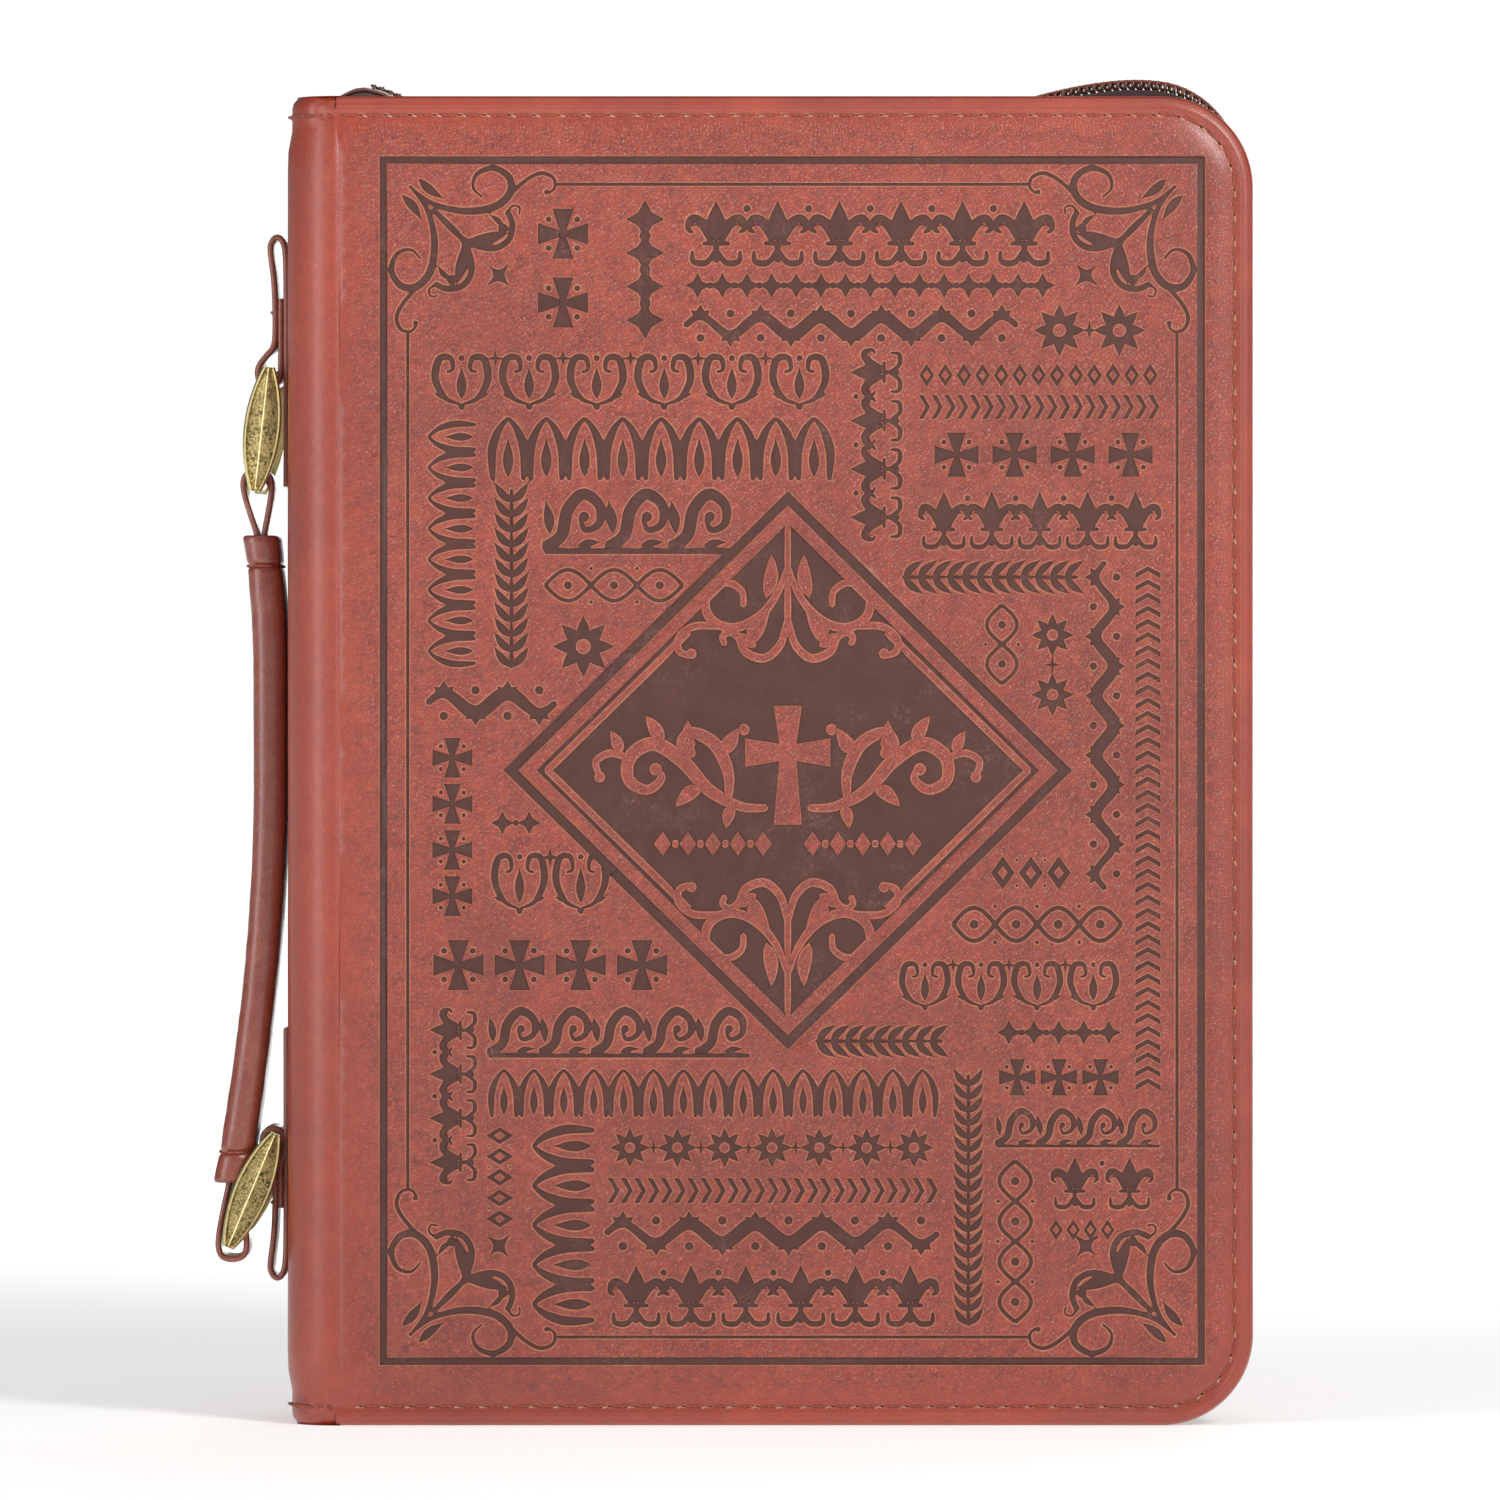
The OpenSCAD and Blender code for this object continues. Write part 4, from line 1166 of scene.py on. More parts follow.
def add_turned_rim(verts, faces, spots, calm, border, flat):
    """Carries the cover's leather from its flat over the edge and back to the lining."""
    follow = {a: b for a, b in border}
    start = min(follow, key=lambda k: (abs(flat[k].x - PANEL_U) > 0.01, flat[k].y))
    chain = [start]
    while True:
        nxt = follow.get(chain[-1])
        if nxt is None or nxt == start:
            break
        chain.append(nxt)
    if len(chain) > 2 and abs(flat[chain[1]].x - PANEL_U) < 0.01:
        chain = [start] + list(reversed(chain[1:]))
    ring = [k for k in chain if rim_distance(flat[k].x, flat[k].y) < EDGE_IN + 0.02]
    rows = [ring]
    right, low, high = CASE_W - CORNER_R, CORNER_R, CASE_H - CORNER_R
    for inset, deep in RIM_PROFILE:
        row = []
        for k in ring:
            p = flat[k]
            if p.x > right and (p.y < low or p.y > high):
                centre = Vector((right, low if p.y < low else high))
                spot = centre + (p - centre).normalized() * (CORNER_R - inset)
            elif p.y < EDGE_IN + 0.02:
                spot = Vector((p.x, inset))
            elif p.y > CASE_H - EDGE_IN - 0.02:
                spot = Vector((p.x, CASE_H - inset))
            else:
                spot = Vector((CASE_W - inset, p.y))
            row.append(len(verts))
            verts.append([spot.x, -deep, spot.y])
            calm.append(1.0)
        rows.append(row)
    for r0, r1 in zip(rows, rows[1:]):
        for i in range(len(ring) - 1):
            faces.append((r0[i], r1[i], r1[i + 1], r0[i + 1]))
            spots.append(0)


# ---------- stitches ----------

def thread_at(centre, along, out, length=3.9, radius=0.36, sides=6):
    """One stitch whose two ends dive into the leather. All are vectors in (u, y, z)."""
    half = length / 2
    path = [centre + along * a * half + out * h for a, h in
            ((-1.0, -0.42), (-0.88, -0.02), (-0.5, 0.14), (0, 0.2), (0.5, 0.14), (0.88, -0.02),
             (1.0, -0.42))]
    return tube(path, radius, sides)


def sewn_pair(hole, along, out):
    """A stitch after a needle hole: a flat thread, and its end standing by the hole, which the
    covers colour paler as a painted highlight.
    """
    down = out.cross(along)
    across = down * (-1 if down.z > 0 or (abs(down.z) < 0.3 and down.x > 0) else 1)
    thread = tube([hole + along * a + out * h for a, h in
                   ((0.5, -0.4), (0.75, -0.12), (1.5, 0.02), (2.4, 0.04), (3.4, 0.02),
                    (4.1, -0.12), (4.35, -0.4))], 0.3, 6)
    start = hole - along * 0.78 + across * 0.2
    nub = tube([start + along * a + across * c + out * h for a, c, h in
                ((-0.5, 0.1, -0.25), (-0.3, 0.08, 0.02), (0.0, 0.0, 0.1), (0.3, -0.05, 0.02),
                 (0.5, -0.1, -0.25))], 0.27, 6)
    return thread, nub


def cover_threads(side):
    total, at = seam_line(STITCH_INSET)
    count = round(total / STITCH_PITCH)
    threads, nubs = [], []
    for i in range(1, count):
        spot, turn = at(total * i / count)
        y = side * (HALF_T + cover_height(spot.x, spot.y))
        along = Vector((math.cos(turn), 0, math.sin(turn)))
        thread, nub = sewn_pair(Vector((spot.x, y, spot.y)), along, Vector((0, side, 0)))
        threads.append(thread)
        nubs.append(nub)
    return threads, nubs


# ---------- spine and its soft edges ----------

def rim_sink(z):
    """How far the spine's leather turns in near its upper and lower edges."""
    d = min(z, CASE_H - z)
    return 1.35 * max(0.0, 1 - d / 2.6) ** 2.6


def wrap_depth(s, z):
    """Depth of the spine's leather at a distance s from the cover's flat. Over the spine it stays
    outside the stiffener."""
    most = 1.0 + 1.5 * (1 - ease(s / 7))
    return rim_sink(z) + min(-cover_height(PANEL_U - s, z), most)


def wrap_rows(lip):
    """The leather's section from top to bottom: (height, depth, shows lining)."""
    inner = [(0.0, 1.9), (0.05, 2.7), (0.4, lip - 0.25), (1.2, lip)]
    outer = [0.0, 0.12, 0.35, 0.7, 1.2, 1.9, 2.6, 3.0, 3.4, 3.8, 4.2, 4.6, 5.2, 6.5]
    low = [(z, None, False) for z in outer]
    count = 60
    mid = [(6.5 + (CASE_H - 13) * i / count, None, False) for i in range(1, count)]
    high = [(CASE_H - z, None, False) for z in reversed(outer)]
    rows = [(z, deep, False) for z, deep in reversed(inner)] + low + mid + high
    rows += [(CASE_H - z, deep, False) for z, deep in inner]
    rows += [(CASE_H - 2.2, lip - 0.4, True), (CASE_H * 0.66, lip - 0.5, True),
             (CASE_H * 0.33, lip - 0.5, True), (2.2, lip - 0.4, True)]
    return rows


def wrap_leather(path, lips):
    """Vertices, faces and spots of a strip wrapped round the spine.
    path is (u, y, out_u, out_y, distance from the cover's flat, tuck)."""
    sections = [wrap_rows(lip) for lip in lips]
    rows = len(sections[0])
    verts, spots = [], []
    for r in range(rows):
        for (u, y, ou, oy, s, tuck), section in zip(path, sections):
            z, deep, _ = section[r]
            if deep is None:
                deep = wrap_depth(s, z) + tuck
            verts.append((u - ou * deep, y - oy * deep, z))
    faces = grid_faces(rows, len(path), False, True)
    for r in range(rows):
        lined = sections[0][r][2] or sections[0][(r + 1) % rows][2]
        spots += [1 if lined else 0] * (len(path) - 1)
    return verts, faces, spots


def spine_path(first, last):
    """Points round the spine from the front cover (0) to the back cover (1)."""
    arc = math.pi / 2 * HINGE_R
    flat = 2 * SPINE_HALF
    whole = 2 * arc + flat
    step = 0.8
    count = round((last - first) * whole / step)
    out = []
    for i in range(count + 1):
        s = whole * (first + (last - first) * i / count)
        near = min(s, whole - s)
        if near < arc:
            a = near / HINGE_R
            side = -1 if s < whole / 2 else 1
            out.append((HINGE_R - HINGE_R * math.sin(a),
                        side * (SPINE_HALF + HINGE_R * math.cos(a)),
                        -math.sin(a), side * math.cos(a), near, 0))
        else:
            out.append((0, s - arc - SPINE_HALF, -1, 0, near, 0))
    return out


def spine_thread_parts(path_first, path_last):
    """Stitches along the upper and lower edges of one part of the spine."""
    arc = math.pi / 2 * HINGE_R
    whole = 2 * arc + 2 * SPINE_HALF
    count = round(whole / STITCH_PITCH)
    parts, holes = [], []
    for i in range(count):
        f = (i + 0.5) / count
        if not path_first <= f < path_last:
            continue
        here, ahead = spine_path(f, f + 0.8 / whole)[:2]
        u, y, ou, oy, s, _ = here
        along = Vector((ahead[0] - u, ahead[1] - y, 0)).normalized()
        out = Vector((ou, oy, 0))
        for z in (STITCH_INSET, CASE_H - STITCH_INSET):
            at = Vector((u, y, z)) - out * wrap_depth(s, z)
            thread, nub = sewn_pair(at, along, out)
            parts += [thread, nub]
            # painted shade: a small near-black cone is set in each needle hole
            hole = at + out * 0.04
            ring = [hole + along * 0.66 * math.cos(TAU * k / 8)
                    + Vector((0, 0, 1)) * 0.36 * math.sin(TAU * k / 8) for k in range(8)]
            holes.append((ring + [hole - out * 0.2], [(k, (k + 1) % 8, 8) for k in range(8)]))
    return parts, holes


def build_spine():
    arc = math.pi / 2 * HINGE_R
    whole = 2 * arc + 2 * SPINE_HALF
    cut = arc / whole
    deep_side, deep_mid = HALF_T - INNER_Y, 3.8
    for name, first, last, body, nodes in (
            ("front_hinge_strip", 0, cut, ("spine", "front_cover"), ["front_hinge_leather"]),
            ("spine_leather", cut, 1 - cut, "spine", ["spine_skin"]),
            ("back_hinge_strip", 1 - cut, 1, ("back_cover", "spine"), ["back_hinge_leather"])):
        path = spine_path(first, last)
        tuck = (PANEL_U + 0.7, 0, 0)
        if name == "front_hinge_strip":
            path = [(tuck[0], -HALF_T, 0, -1, 0, 0.28)] + path
        if name == "back_hinge_strip":
            path = path + [(tuck[0], HALF_T, 0, 1, 0, 0.28)]
        lips = [deep_mid + (deep_side - deep_mid) * max(0, 1 - p[4] / arc) for p in path]
        verts, faces, spots = wrap_leather(path, lips)
        mats = [M["leather"], M["lining"], M["thread"], M["hole"]]
        calm = [0.85] * len(verts)
        if name != "spine_leather":
            threads, holes = spine_thread_parts(first, last)
            verts, faces, spots = join((verts, faces, spots), (*merge(threads), 2),
                                       (*merge(holes), 3))
            calm += [1.0] * (len(verts) - len(calm))
        obj = make_piece(name, verts, faces, mats, None, "cover_leather", nodes, spots, calm)
        if isinstance(body, tuple):
            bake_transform(obj)
        else:
            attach(obj, body)
    threads, holes = spine_thread_parts(cut, 1 - cut)
    verts, faces, spots = join((*merge(threads), 0), (*merge(holes), 1))
    make_piece("spine_threads", verts, faces, [M["thread"], M["hole"]], "spine", "thread",
               ["spine_stitching"], spots)


# ---------- zip wall: it follows the rim at an inset that changes along the way ----------

WALL_U0 = 12
RUN_LOW = CASE_W - CORNER_R - WALL_U0
ARC_L = math.pi * CORNER_R / 2
S_SIDE = RUN_LOW + ARC_L
S_UP = S_SIDE + CASE_H - 2 * CORNER_R
S_TOP = S_UP + ARC_L
S_END = S_TOP + RUN_LOW
BASE_IN, SIDE_IN, TOP_IN, BULGE, SWELL = 4, 1.5, 6.5, 1.5, 3.7
SWELL_AT, SWELL_FALL = 4, 54


def bell(t):
    return 0 if abs(t) >= 1 else 0.5 + 0.5 * math.cos(math.pi * t)


def wall_inset(s):
    if s < S_SIDE:
        return BASE_IN + (SIDE_IN - BASE_IN) * ease((s - RUN_LOW + 12) / (12 + ARC_L))
    if s < S_UP:
        return SIDE_IN - BULGE * bell((s - S_SIDE - 8) / 17)
    if s < S_TOP + SWELL_AT:
        return SIDE_IN - (SIDE_IN + SWELL) * ease((s - S_UP) / (ARC_L + SWELL_AT))
    return -SWELL + (SWELL + TOP_IN) * ease((s - S_TOP - SWELL_AT) / SWELL_FALL)


def wall_frame(s):
    """Point on the rim and direction out of the case at a distance s along the zip."""
    if s < RUN_LOW:
        return Vector((WALL_U0 + s, 0)), Vector((0, -1))
    if s < S_SIDE or S_UP <= s < S_TOP:
        low = s < S_SIDE
        a = math.pi / 2 * (s - (RUN_LOW if low else S_UP)) / ARC_L - (math.pi / 2 if low else 0)
        out = Vector((math.cos(a), math.sin(a)))
        centre = Vector((CASE_W - CORNER_R, CORNER_R if low else CASE_H - CORNER_R))
        return centre + out * CORNER_R, out
    if s < S_UP:
        return Vector((CASE_W, CORNER_R + s - S_SIDE)), Vector((1, 0))
    return Vector((CASE_W - CORNER_R - (s - S_TOP), CASE_H)), Vector((0, 1))


def wall_point(s, y, d, flare=0.0):
    """A point of the wall: d below the gusset's face; flare 1 brings it under the cover's rim."""
    spot, out = wall_frame(s)
    inset = wall_inset(s)
    if inset < 1.2:
        # where the zip swells, the leather slopes up to the chain like a roof
        inset += (1.2 - inset) * (0.62 * ease((abs(y) - 3.4) / 9) + 0.38 * ease((abs(y) - 11) / 8))
    inset = (inset + d) * (1 - flare) + (1.9 + d) * flare
    spot = spot - out * inset
    return Vector((spot.x, y, spot.y))


def wall_sheet(section, s0, s1, step, side, ripple=0.0):
    """A closed section swept along the zip wall."""
    count = round((s1 - s0) / step)
    verts = []
    for i in range(count + 1):
        s = s0 + (s1 - s0) * i / count
        for y, d, flare in section:
            d += ripple * (1 - flare) * noise.noise(Vector((s / 9, y / 7, 2.0 * side)))
            verts.append(wall_point(s, side * y, d, flare))
    n = len(section)
    faces = grid_faces(count + 1, n, True)
    faces += [tuple(range(n - 1, -1, -1)), tuple(count * n + k for k in range(n))]
    if side < 0:
        faces = turned(faces)
    return verts, faces


GUSSET_FACE = [(19.95, 0.0, 1.0), (19.5, 0.0, 0.86), (18.9, 0.0, 0.52), (18.1, 0.0, 0.18),
               (17.2, 0.0, 0.04), (16.2, 0.0, 0.0), (15.2, 0.0, 0.0), (14.3, 0.0, 0.0),
               (13.95, 0.1, 0.0), (13.6, 0.22, 0.0), (13.25, 0.1, 0.0), (12.7, -0.02, 0.0),
               (12.2, 0.12, 0.0), (12.0, 0.6, 0.0)]


def build_gussets():
    back = [(y, 1.2 - d if d < 0.5 else d, f) for y, d, f in reversed(GUSSET_FACE[:-1])]
    section = GUSSET_FACE + back
    for side, name in ((-1, "front"), (1, "back")):
        sheet = wall_sheet(section, 0, S_END, 1.6, side, 0.16)
        parts = []
        count = round(S_END / 3.6)
        for i in range(count):
            s = S_END * (i + 0.5) / count
            _, out = wall_frame(s)
            a, b = wall_point(s - 0.1, 0, 0), wall_point(s + 0.1, 0, 0)
            parts.append(thread_at(wall_point(s, side * 13.6, 0.12), (b - a).normalized(),
                                   Vector((out.x, 0, out.y)), 2.9, 0.26, 5))
        verts, faces, spots = join((*sheet, 0), (*merge(parts), 1))
        make_piece(name + "_gusset_leather", verts, faces, [M["gusset"], M["thread"]],
                   name + "_cover", "gusset_leather", [name + "_gusset"], spots)


def build_tapes():
    rows = 30
    face = [(15 - 13.4 * i / rows, 1.2 + 0.05 * (i % 2), 0) for i in range(rows + 1)]
    section = face + [(1.52, 1.5, 0)] + [(y, 1.8 - 0.05 * (i % 2), 0) for i, (y, _, _) in
                                         enumerate(reversed(face))] + [(15.08, 1.5, 0)]
    for side, name in ((-1, "front"), (1, "back")):
        verts, faces = wall_sheet(section, 0, S_END, 2.4, side)
        make_piece(name + "_tape", verts, faces, [M["tape"]], name + "_cover", "zip_tape",
                   [name + "_zip_tape"])


COIL_PITCH = 1.55


def coil_path(s0, s1, side, place_at):
    """A spiral of nylon round one edge of the tape, half a turn apart on the two sides."""
    turns = round((s1 - s0) / COIL_PITCH)
    steps = 9
    path = []
    for i in range(turns * steps + 1):
        t = i / steps
        a = TAU * (t + (0.25 if side > 0 else 0.75))
        s = s0 + (s1 - s0) * i / (turns * steps)
        flatten = math.sin(a)
        d = 0.12 - 0.76 * (abs(flatten) ** 0.75) * (1 if flatten > 0 else -1)
        path.append(place_at(s, side * (1.32 - 1.5 * math.cos(a)), d))
    return path


def build_coils(slider_u):
    last = S_TOP + CASE_W - CORNER_R - (slider_u - 2.5)
    for side, name in ((-1, "front"), (1, "back")):
        path = coil_path(2.0, last, side, wall_point)
        sewn = []
        for y, d in ((2.0, -0.72), (2.75, -0.5)):
            line = [wall_point(2 + (last - 2) * i / 400, side * y, d) for i in range(401)]
            sewn.append(tube(line, 0.13, 5))
        verts, faces, spots = join((*tube(path, 0.34, 6), 0), (*merge(sewn), 1))
        make_piece(name + "_coil", verts, faces, [M["coil"], M["thread"]], name + "_cover",
                   "zip_coil", [name + "_zip_coil"], spots)


def tab_sheet(u0, u1, height, half, thick):
    """Leather folded over the zip's end: height(u) gives its upper face."""
    cols, rows = 40, 34
    verts = []
    ys = [-half * math.cos(math.pi * j / cols) for j in range(cols + 1)]
    for i in range(rows + 1):
        u = u0 + (u1 - u0) * i / rows
        end = min(i, rows - i)
        slim = (0.45, 0.8, 1.0)[min(end, 2)]
        for y in ys:
            fall = 0.55 * thick * (abs(y) / half) ** 6
            dip = 0.14 * noise.noise(Vector((u / 3, y / 5, 7)))
            verts.append((u, y, height(u, y) - fall + dip - thick * (1 - slim) / 2))
        for y in reversed(ys):
            fall = 0.45 * thick * (abs(y) / half) ** 6
            verts.append((u, y, height(u, y) - thick + fall + thick * (1 - slim) / 2))
    n = 2 * (cols + 1)
    faces = grid_faces(rows + 1, n, True)
    faces = turned(faces)
    faces += [tuple(range(n)), tuple(rows * n + k for k in range(n - 1, -1, -1))]
    return verts, faces


def build_tabs():
    low, high = size_of("upper_zip_tab")
    half = high[1]
    profile = curve([(4.3, 254.4), (5.6, 257.6), (8.2, 260.9), (11.2, 262.9), (14.6, 263.9),
                     (17.4, 263.4), (20.6, 262.2), (23.6, 260.8), (26.2, 259.0),
                     (28.0, 257.6)], 0.4)
    drawn_h = 261
    lift = CASE_H - drawn_h

    def hump(u, y):
        near = min(profile, key=lambda p: abs(p.x - u))
        return near.y + lift - 0.5 * (y / half) ** 2
    u0, u1 = 4.3, 28.0
    verts, faces = tab_sheet(u0, u1, hump, half, 1.2)
    make_piece("upper_tab", verts, faces, [M["gusset"]], "spine", "gusset_leather",
               ["upper_zip_tab"])
    parts = []
    for side in (-1, 1):
        path = coil_path(0, 11.5, side, lambda s, y, d: Vector(
            (u1 - 0.4 - s, y, hump(u1 - 0.4 - s, y) + 0.35 - d * 0.8)))
        parts.append(tube(path, 0.32, 6))
    verts, faces = merge(parts)
    make_piece("tab_chain", verts, faces, [M["coil"]], "spine", "zip_coil")
    low, high = size_of("lower_zip_tab")
    verts, faces = tab_sheet(low[0] - X0, high[0] - X0,
                             lambda u, y: high[2] + 0.1 * math.sin(u), high[1], 1.4)
    make_piece("lower_tab", verts, faces, [M["gusset"]], "spine", "gusset_leather",
               ["lower_zip_tab"])


# ---------- slider and pull ----------

def soften(obj, width=0.22, segments=3):
    mod = obj.modifiers.new("soft_edges", "BEVEL")
    mod.width = width * MM
    mod.segments = segments
    mod.limit_method = "ANGLE"
    mod.angle_limit = math.radians(35)
    obj.data.polygons.foreach_set("use_smooth", [True] * len(obj.data.polygons))
    sharpen(obj, 30)


def prism(outline, z0, z1, axes, holes=()):
    """A flat outline with holes made solid between two levels. axes maps (a, b, level)."""
    points, faces_in = list(map(Vector, outline)), [list(range(len(outline)))]
    for hole in holes:
        first = len(points)
        points += map(Vector, hole)
        faces_in.append(list(range(first, len(points))))
    flat, _, tris, _, _, owners = delaunay_2d_cdt(points, [], faces_in, 0, 1e-5)
    keep = [t for t, o in zip(tris, owners) if 0 in o and len(o) == 1]
    n = len(flat)
    verts = [axes(p.x, p.y, z1) for p in flat] + [axes(p.x, p.y, z0) for p in flat]
    faces = [tuple(t) for t in keep] + [tuple(n + k for k in reversed(t)) for t in keep]
    faces += [(b, a, n + a, n + b) for a, b in open_edges(keep)]
    return verts, faces


def rounded(points, r, n=5):
    """An outline with each corner rounded."""
    out = []
    count = len(points)
    for i in range(count):
        p, q, s = Vector(points[i - 1]), Vector(points[i]), Vector(points[(i + 1) % count])
        a, b = (p - q), (s - q)
        k = min(r, a.length / 2.1, b.length / 2.1)
        start, end = q + a.normalized() * k, q + b.normalized() * k
        for j in range(n + 1):
            t = j / n
            out.append((1 - t) ** 2 * start + 2 * t * (1 - t) * q + t * t * end)
    return out


def build_slider():
    low, high = size_of("slider_body")
    mid = (low[0] + high[0]) / 2 - X0
    flat = lambda a, b, z: (mid + a, b, z)
    shape = rounded([(-7, -3.2), (-4, -4.9), (2.5, -5), (7, -3.9), (6.2, -1.2), (6.2, 1.2),
                     (7, 3.9), (2.5, 5), (-4, 4.9), (-7, 3.2)], 1.2)
    raised = rounded([(-5.4, -2.6), (-2, -3.4), (3.6, -3.4), (5, -1.6), (5, 1.6), (3.6, 3.4),
                      (-2, 3.4), (-5.4, 2.6)], 1.0)
    top, bottom = high[2], low[2]
    parts = [prism(shape, top - 1.2, top - 0.15, flat), prism(raised, top - 0.16, top, flat),
             prism(shape, bottom, bottom + 1.2, flat)]
    wall_low = high[2] - 1.2 - 2.4
    for side in (-1, 1):
        rail = [(-6.4, side * 3.5), (-3.9, side * 4.85), (2.5, side * 4.95), (6.2, side * 4.2),
                (6.0, side * 3.4), (2.5, side * 3.75), (-3.5, side * 3.7), (-6.2, side * 2.7)]
        parts.append(prism(rail if side > 0 else rail[::-1], wall_low, top - 1.0, flat))
    post = [(-7, 0), (-5.6, -1.3), (-4.1, -0.7), (-4.1, 0.7), (-5.6, 1.3)]
    parts.append(prism(post, bottom + 1.0, top - 1.1, flat))
    verts, faces = merge(parts)
    body = make_piece("slider", verts, faces, [M["brass"]], "zip_slider", "zip_brass",
                      ["slider_body"])
    soften(body, 0.2)
    low, high = size_of("slider_bridge")
    pin_u, pin_z = (low[0] + high[0]) / 2 - X0, high[2] - 1.2
    side_on = lambda a, b, y: (pin_u + a, -y, pin_z + b)
    drop = low[2] - pin_z
    lug = [(-3.2, drop), (-2.2, drop + 0.5), (-1.2, -0.3)]
    lug += [(1.2 * math.cos(a), 1.2 * math.sin(a)) for a in
            [math.pi - math.pi * i / 12 for i in range(13)]]
    lug += [(1.2, -0.3), (2.2, drop + 0.5), (3.2, drop)]
    pin_half = high[1]
    pin_path = [Vector((pin_u, y, pin_z)) for y in
                (-pin_half, -pin_half + 0.12, -pin_half + 0.35, -1.9, 1.9, pin_half - 0.35,
                 pin_half - 0.12, pin_half)]
    parts = [prism(lug[::-1], -0.8, 0.8, side_on)]
    lug_piece = make_piece("slider_lug", *merge(parts), [M["brass"]], "zip_slider", "zip_brass",
                           ["slider_bridge"])
    soften(lug_piece, 0.18)
    pin = make_piece("slider_pin", *tube(pin_path, [0.35, 0.58, 0.6, 0.6, 0.6, 0.6, 0.58, 0.35],
                                         20), [M["brass"]], "zip_slider", "zip_brass")
    sharpen(pin, 40)
    build_pull(pin_u, pin_z)


def build_pull(pin_u, pin_z):
    reach = size_of("zip_pull")[1][0] - X0 - pin_u
    flat = lambda a, b, z: (pin_u + a, b, pin_z + z)
    tip = reach - 3
    outline = [(4.6, -1.9), (6, -1.7), (9, -2.0), (14, -2.7), (tip, -3)]
    outline += [(tip + 3 * math.cos(a), 3 * math.sin(a)) for a in
                [-math.pi / 2 + math.pi * i / 14 for i in range(1, 14)]]
    outline += [(tip, 3), (14, 2.7), (9, 2.0), (6, 1.7), (4.6, 1.9)]
    hole = [(tip + 1.0 * math.cos(TAU * i / 20), 1.0 * math.sin(TAU * i / 20))
            for i in range(20)]
    slot = rounded([(8.2, -0.75), (15.5, -1.35), (15.5, 1.35), (8.2, 0.75)], 0.7)
    parts = [prism(outline, -0.6, 0.6, flat, [hole, slot])]
    side_on = lambda a, b, y: (pin_u + a, -y, pin_z + b)
    for side in (-1, 1):
        arm = [(5.2, 0.6), (0.4, 1.12)] + [(-1.2 * math.sin(a), 1.2 * math.cos(a)) for a in
                                           [math.pi * i / 12 for i in range(13)]]
        arm += [(0.4, -1.12), (5.2, -0.6)]
        eye = [(0.65 * math.cos(TAU * i / 16), 0.65 * math.sin(TAU * i / 16)) for i in range(16)]
        parts.append(prism(arm, side * 1.5 - 0.5, side * 1.5 + 0.5, side_on, [eye]))
    pull = make_piece("pull", *merge(parts), [M["brass"]], "zip_pull", "zip_brass", ["zip_pull"])
    soften(pull, 0.2)


# ---------- straps, links and handle ----------

STRAP_T, STRAP_HALF_W = 1.1, 7.5
BAR_R = 1.2


def ribbon(path, thick, half_w):
    """A strap: its centreline is in (u, z) and its width along y."""
    n = len(path)
    t, w = thick / 2, half_w
    side_pts = [(-w + 0.32, t), (-w * 0.6, t * 1.04), (0, t * 1.06), (w * 0.6, t * 1.04),
                (w - 0.32, t), (w - 0.08, t * 0.62), (w, 0), (w - 0.08, -t * 0.62),
                (w - 0.32, -t), (w * 0.6, -t), (0, -t), (-w * 0.6, -t), (-w + 0.32, -t),
                (-w + 0.08, -t * 0.62), (-w, 0), (-w + 0.08, t * 0.62)]
    verts = []
    for i, p in enumerate(path):
        run = (path[min(i + 1, n - 1)] - path[max(i - 1, 0)]).normalized()
        out = Vector((-run.y, run.x))
        for y, o in side_pts:
            verts.append((p.x + out.x * o, y, p.y + out.y * o))
    m = len(side_pts)
    faces = turned(grid_faces(n, m, True))
    spots = [1 if j in (4, 5, 6, 7, 12, 13, 14, 15) else 0 for _ in range(n - 1)
             for j in range(m)]
    faces += [tuple(range(m)), tuple((n - 1) * m + k for k in range(m - 1, -1, -1))]
    return verts, faces, spots + [1, 1]


def bars_of(node):
    """(upper right pivot, lower left pivot) of a link, from the box of its two bars."""
    low, high = size_of(node)
    return (Vector((high[0] - X0 - BAR_R, high[2] - BAR_R)),
            Vector((low[0] - X0 + BAR_R, low[2] + BAR_R)))


def strap_piece(name, paths, body, nodes):
    verts, faces, spots = join(*[ribbon(path, STRAP_T, STRAP_HALF_W) for path in paths])
    obj = make_piece(name, verts, faces, [M["strap"], M["cut_edge"]], body, "strap_leather",
                     nodes, spots)
    sharpen(obj, 60)


def anchor_path(bar, way, base_z, fold_z, end_z):
    """Strap sewn on the spine, folded back, led round the bar and up to its cut end."""
    def at(u, dz):
        return (u, fold_z + way * dz)
    squeeze = bar.y + way * 8.6
    points = [(-0.56, base_z), (-0.56, (base_z + fold_z) / 2), at(-0.58, -9), at(-0.72, -3.4),
              at(-1.05, -1.2), at(-1.75, 0.2), at(-2.75, 0.25), at(-3.55, -0.9), at(-3.7, -2.6),
              at(-3.05, -8.0), (-2.8, squeeze + way * 5.5), (-2.75, squeeze),
              (-3.15, bar.y + way * 5.6), (-4.5, bar.y + way * 3.9),
              (bar.x - 2.0, bar.y + way * 2.0), (bar.x - 2.35, bar.y + way * 0.2),
              (bar.x - 1.8, bar.y - way * 1.45), (bar.x - 0.5, bar.y - way * 2.2),
              (bar.x + 0.9, bar.y - way * 1.9), (bar.x + 2.05, bar.y - way * 0.4),
              (bar.x + 2.25, bar.y + way * 2.0), (-1.66, bar.y + way * 5.0), (-1.66, squeeze),
              (-1.66, end_z)]
    return curve(points, 0.5)


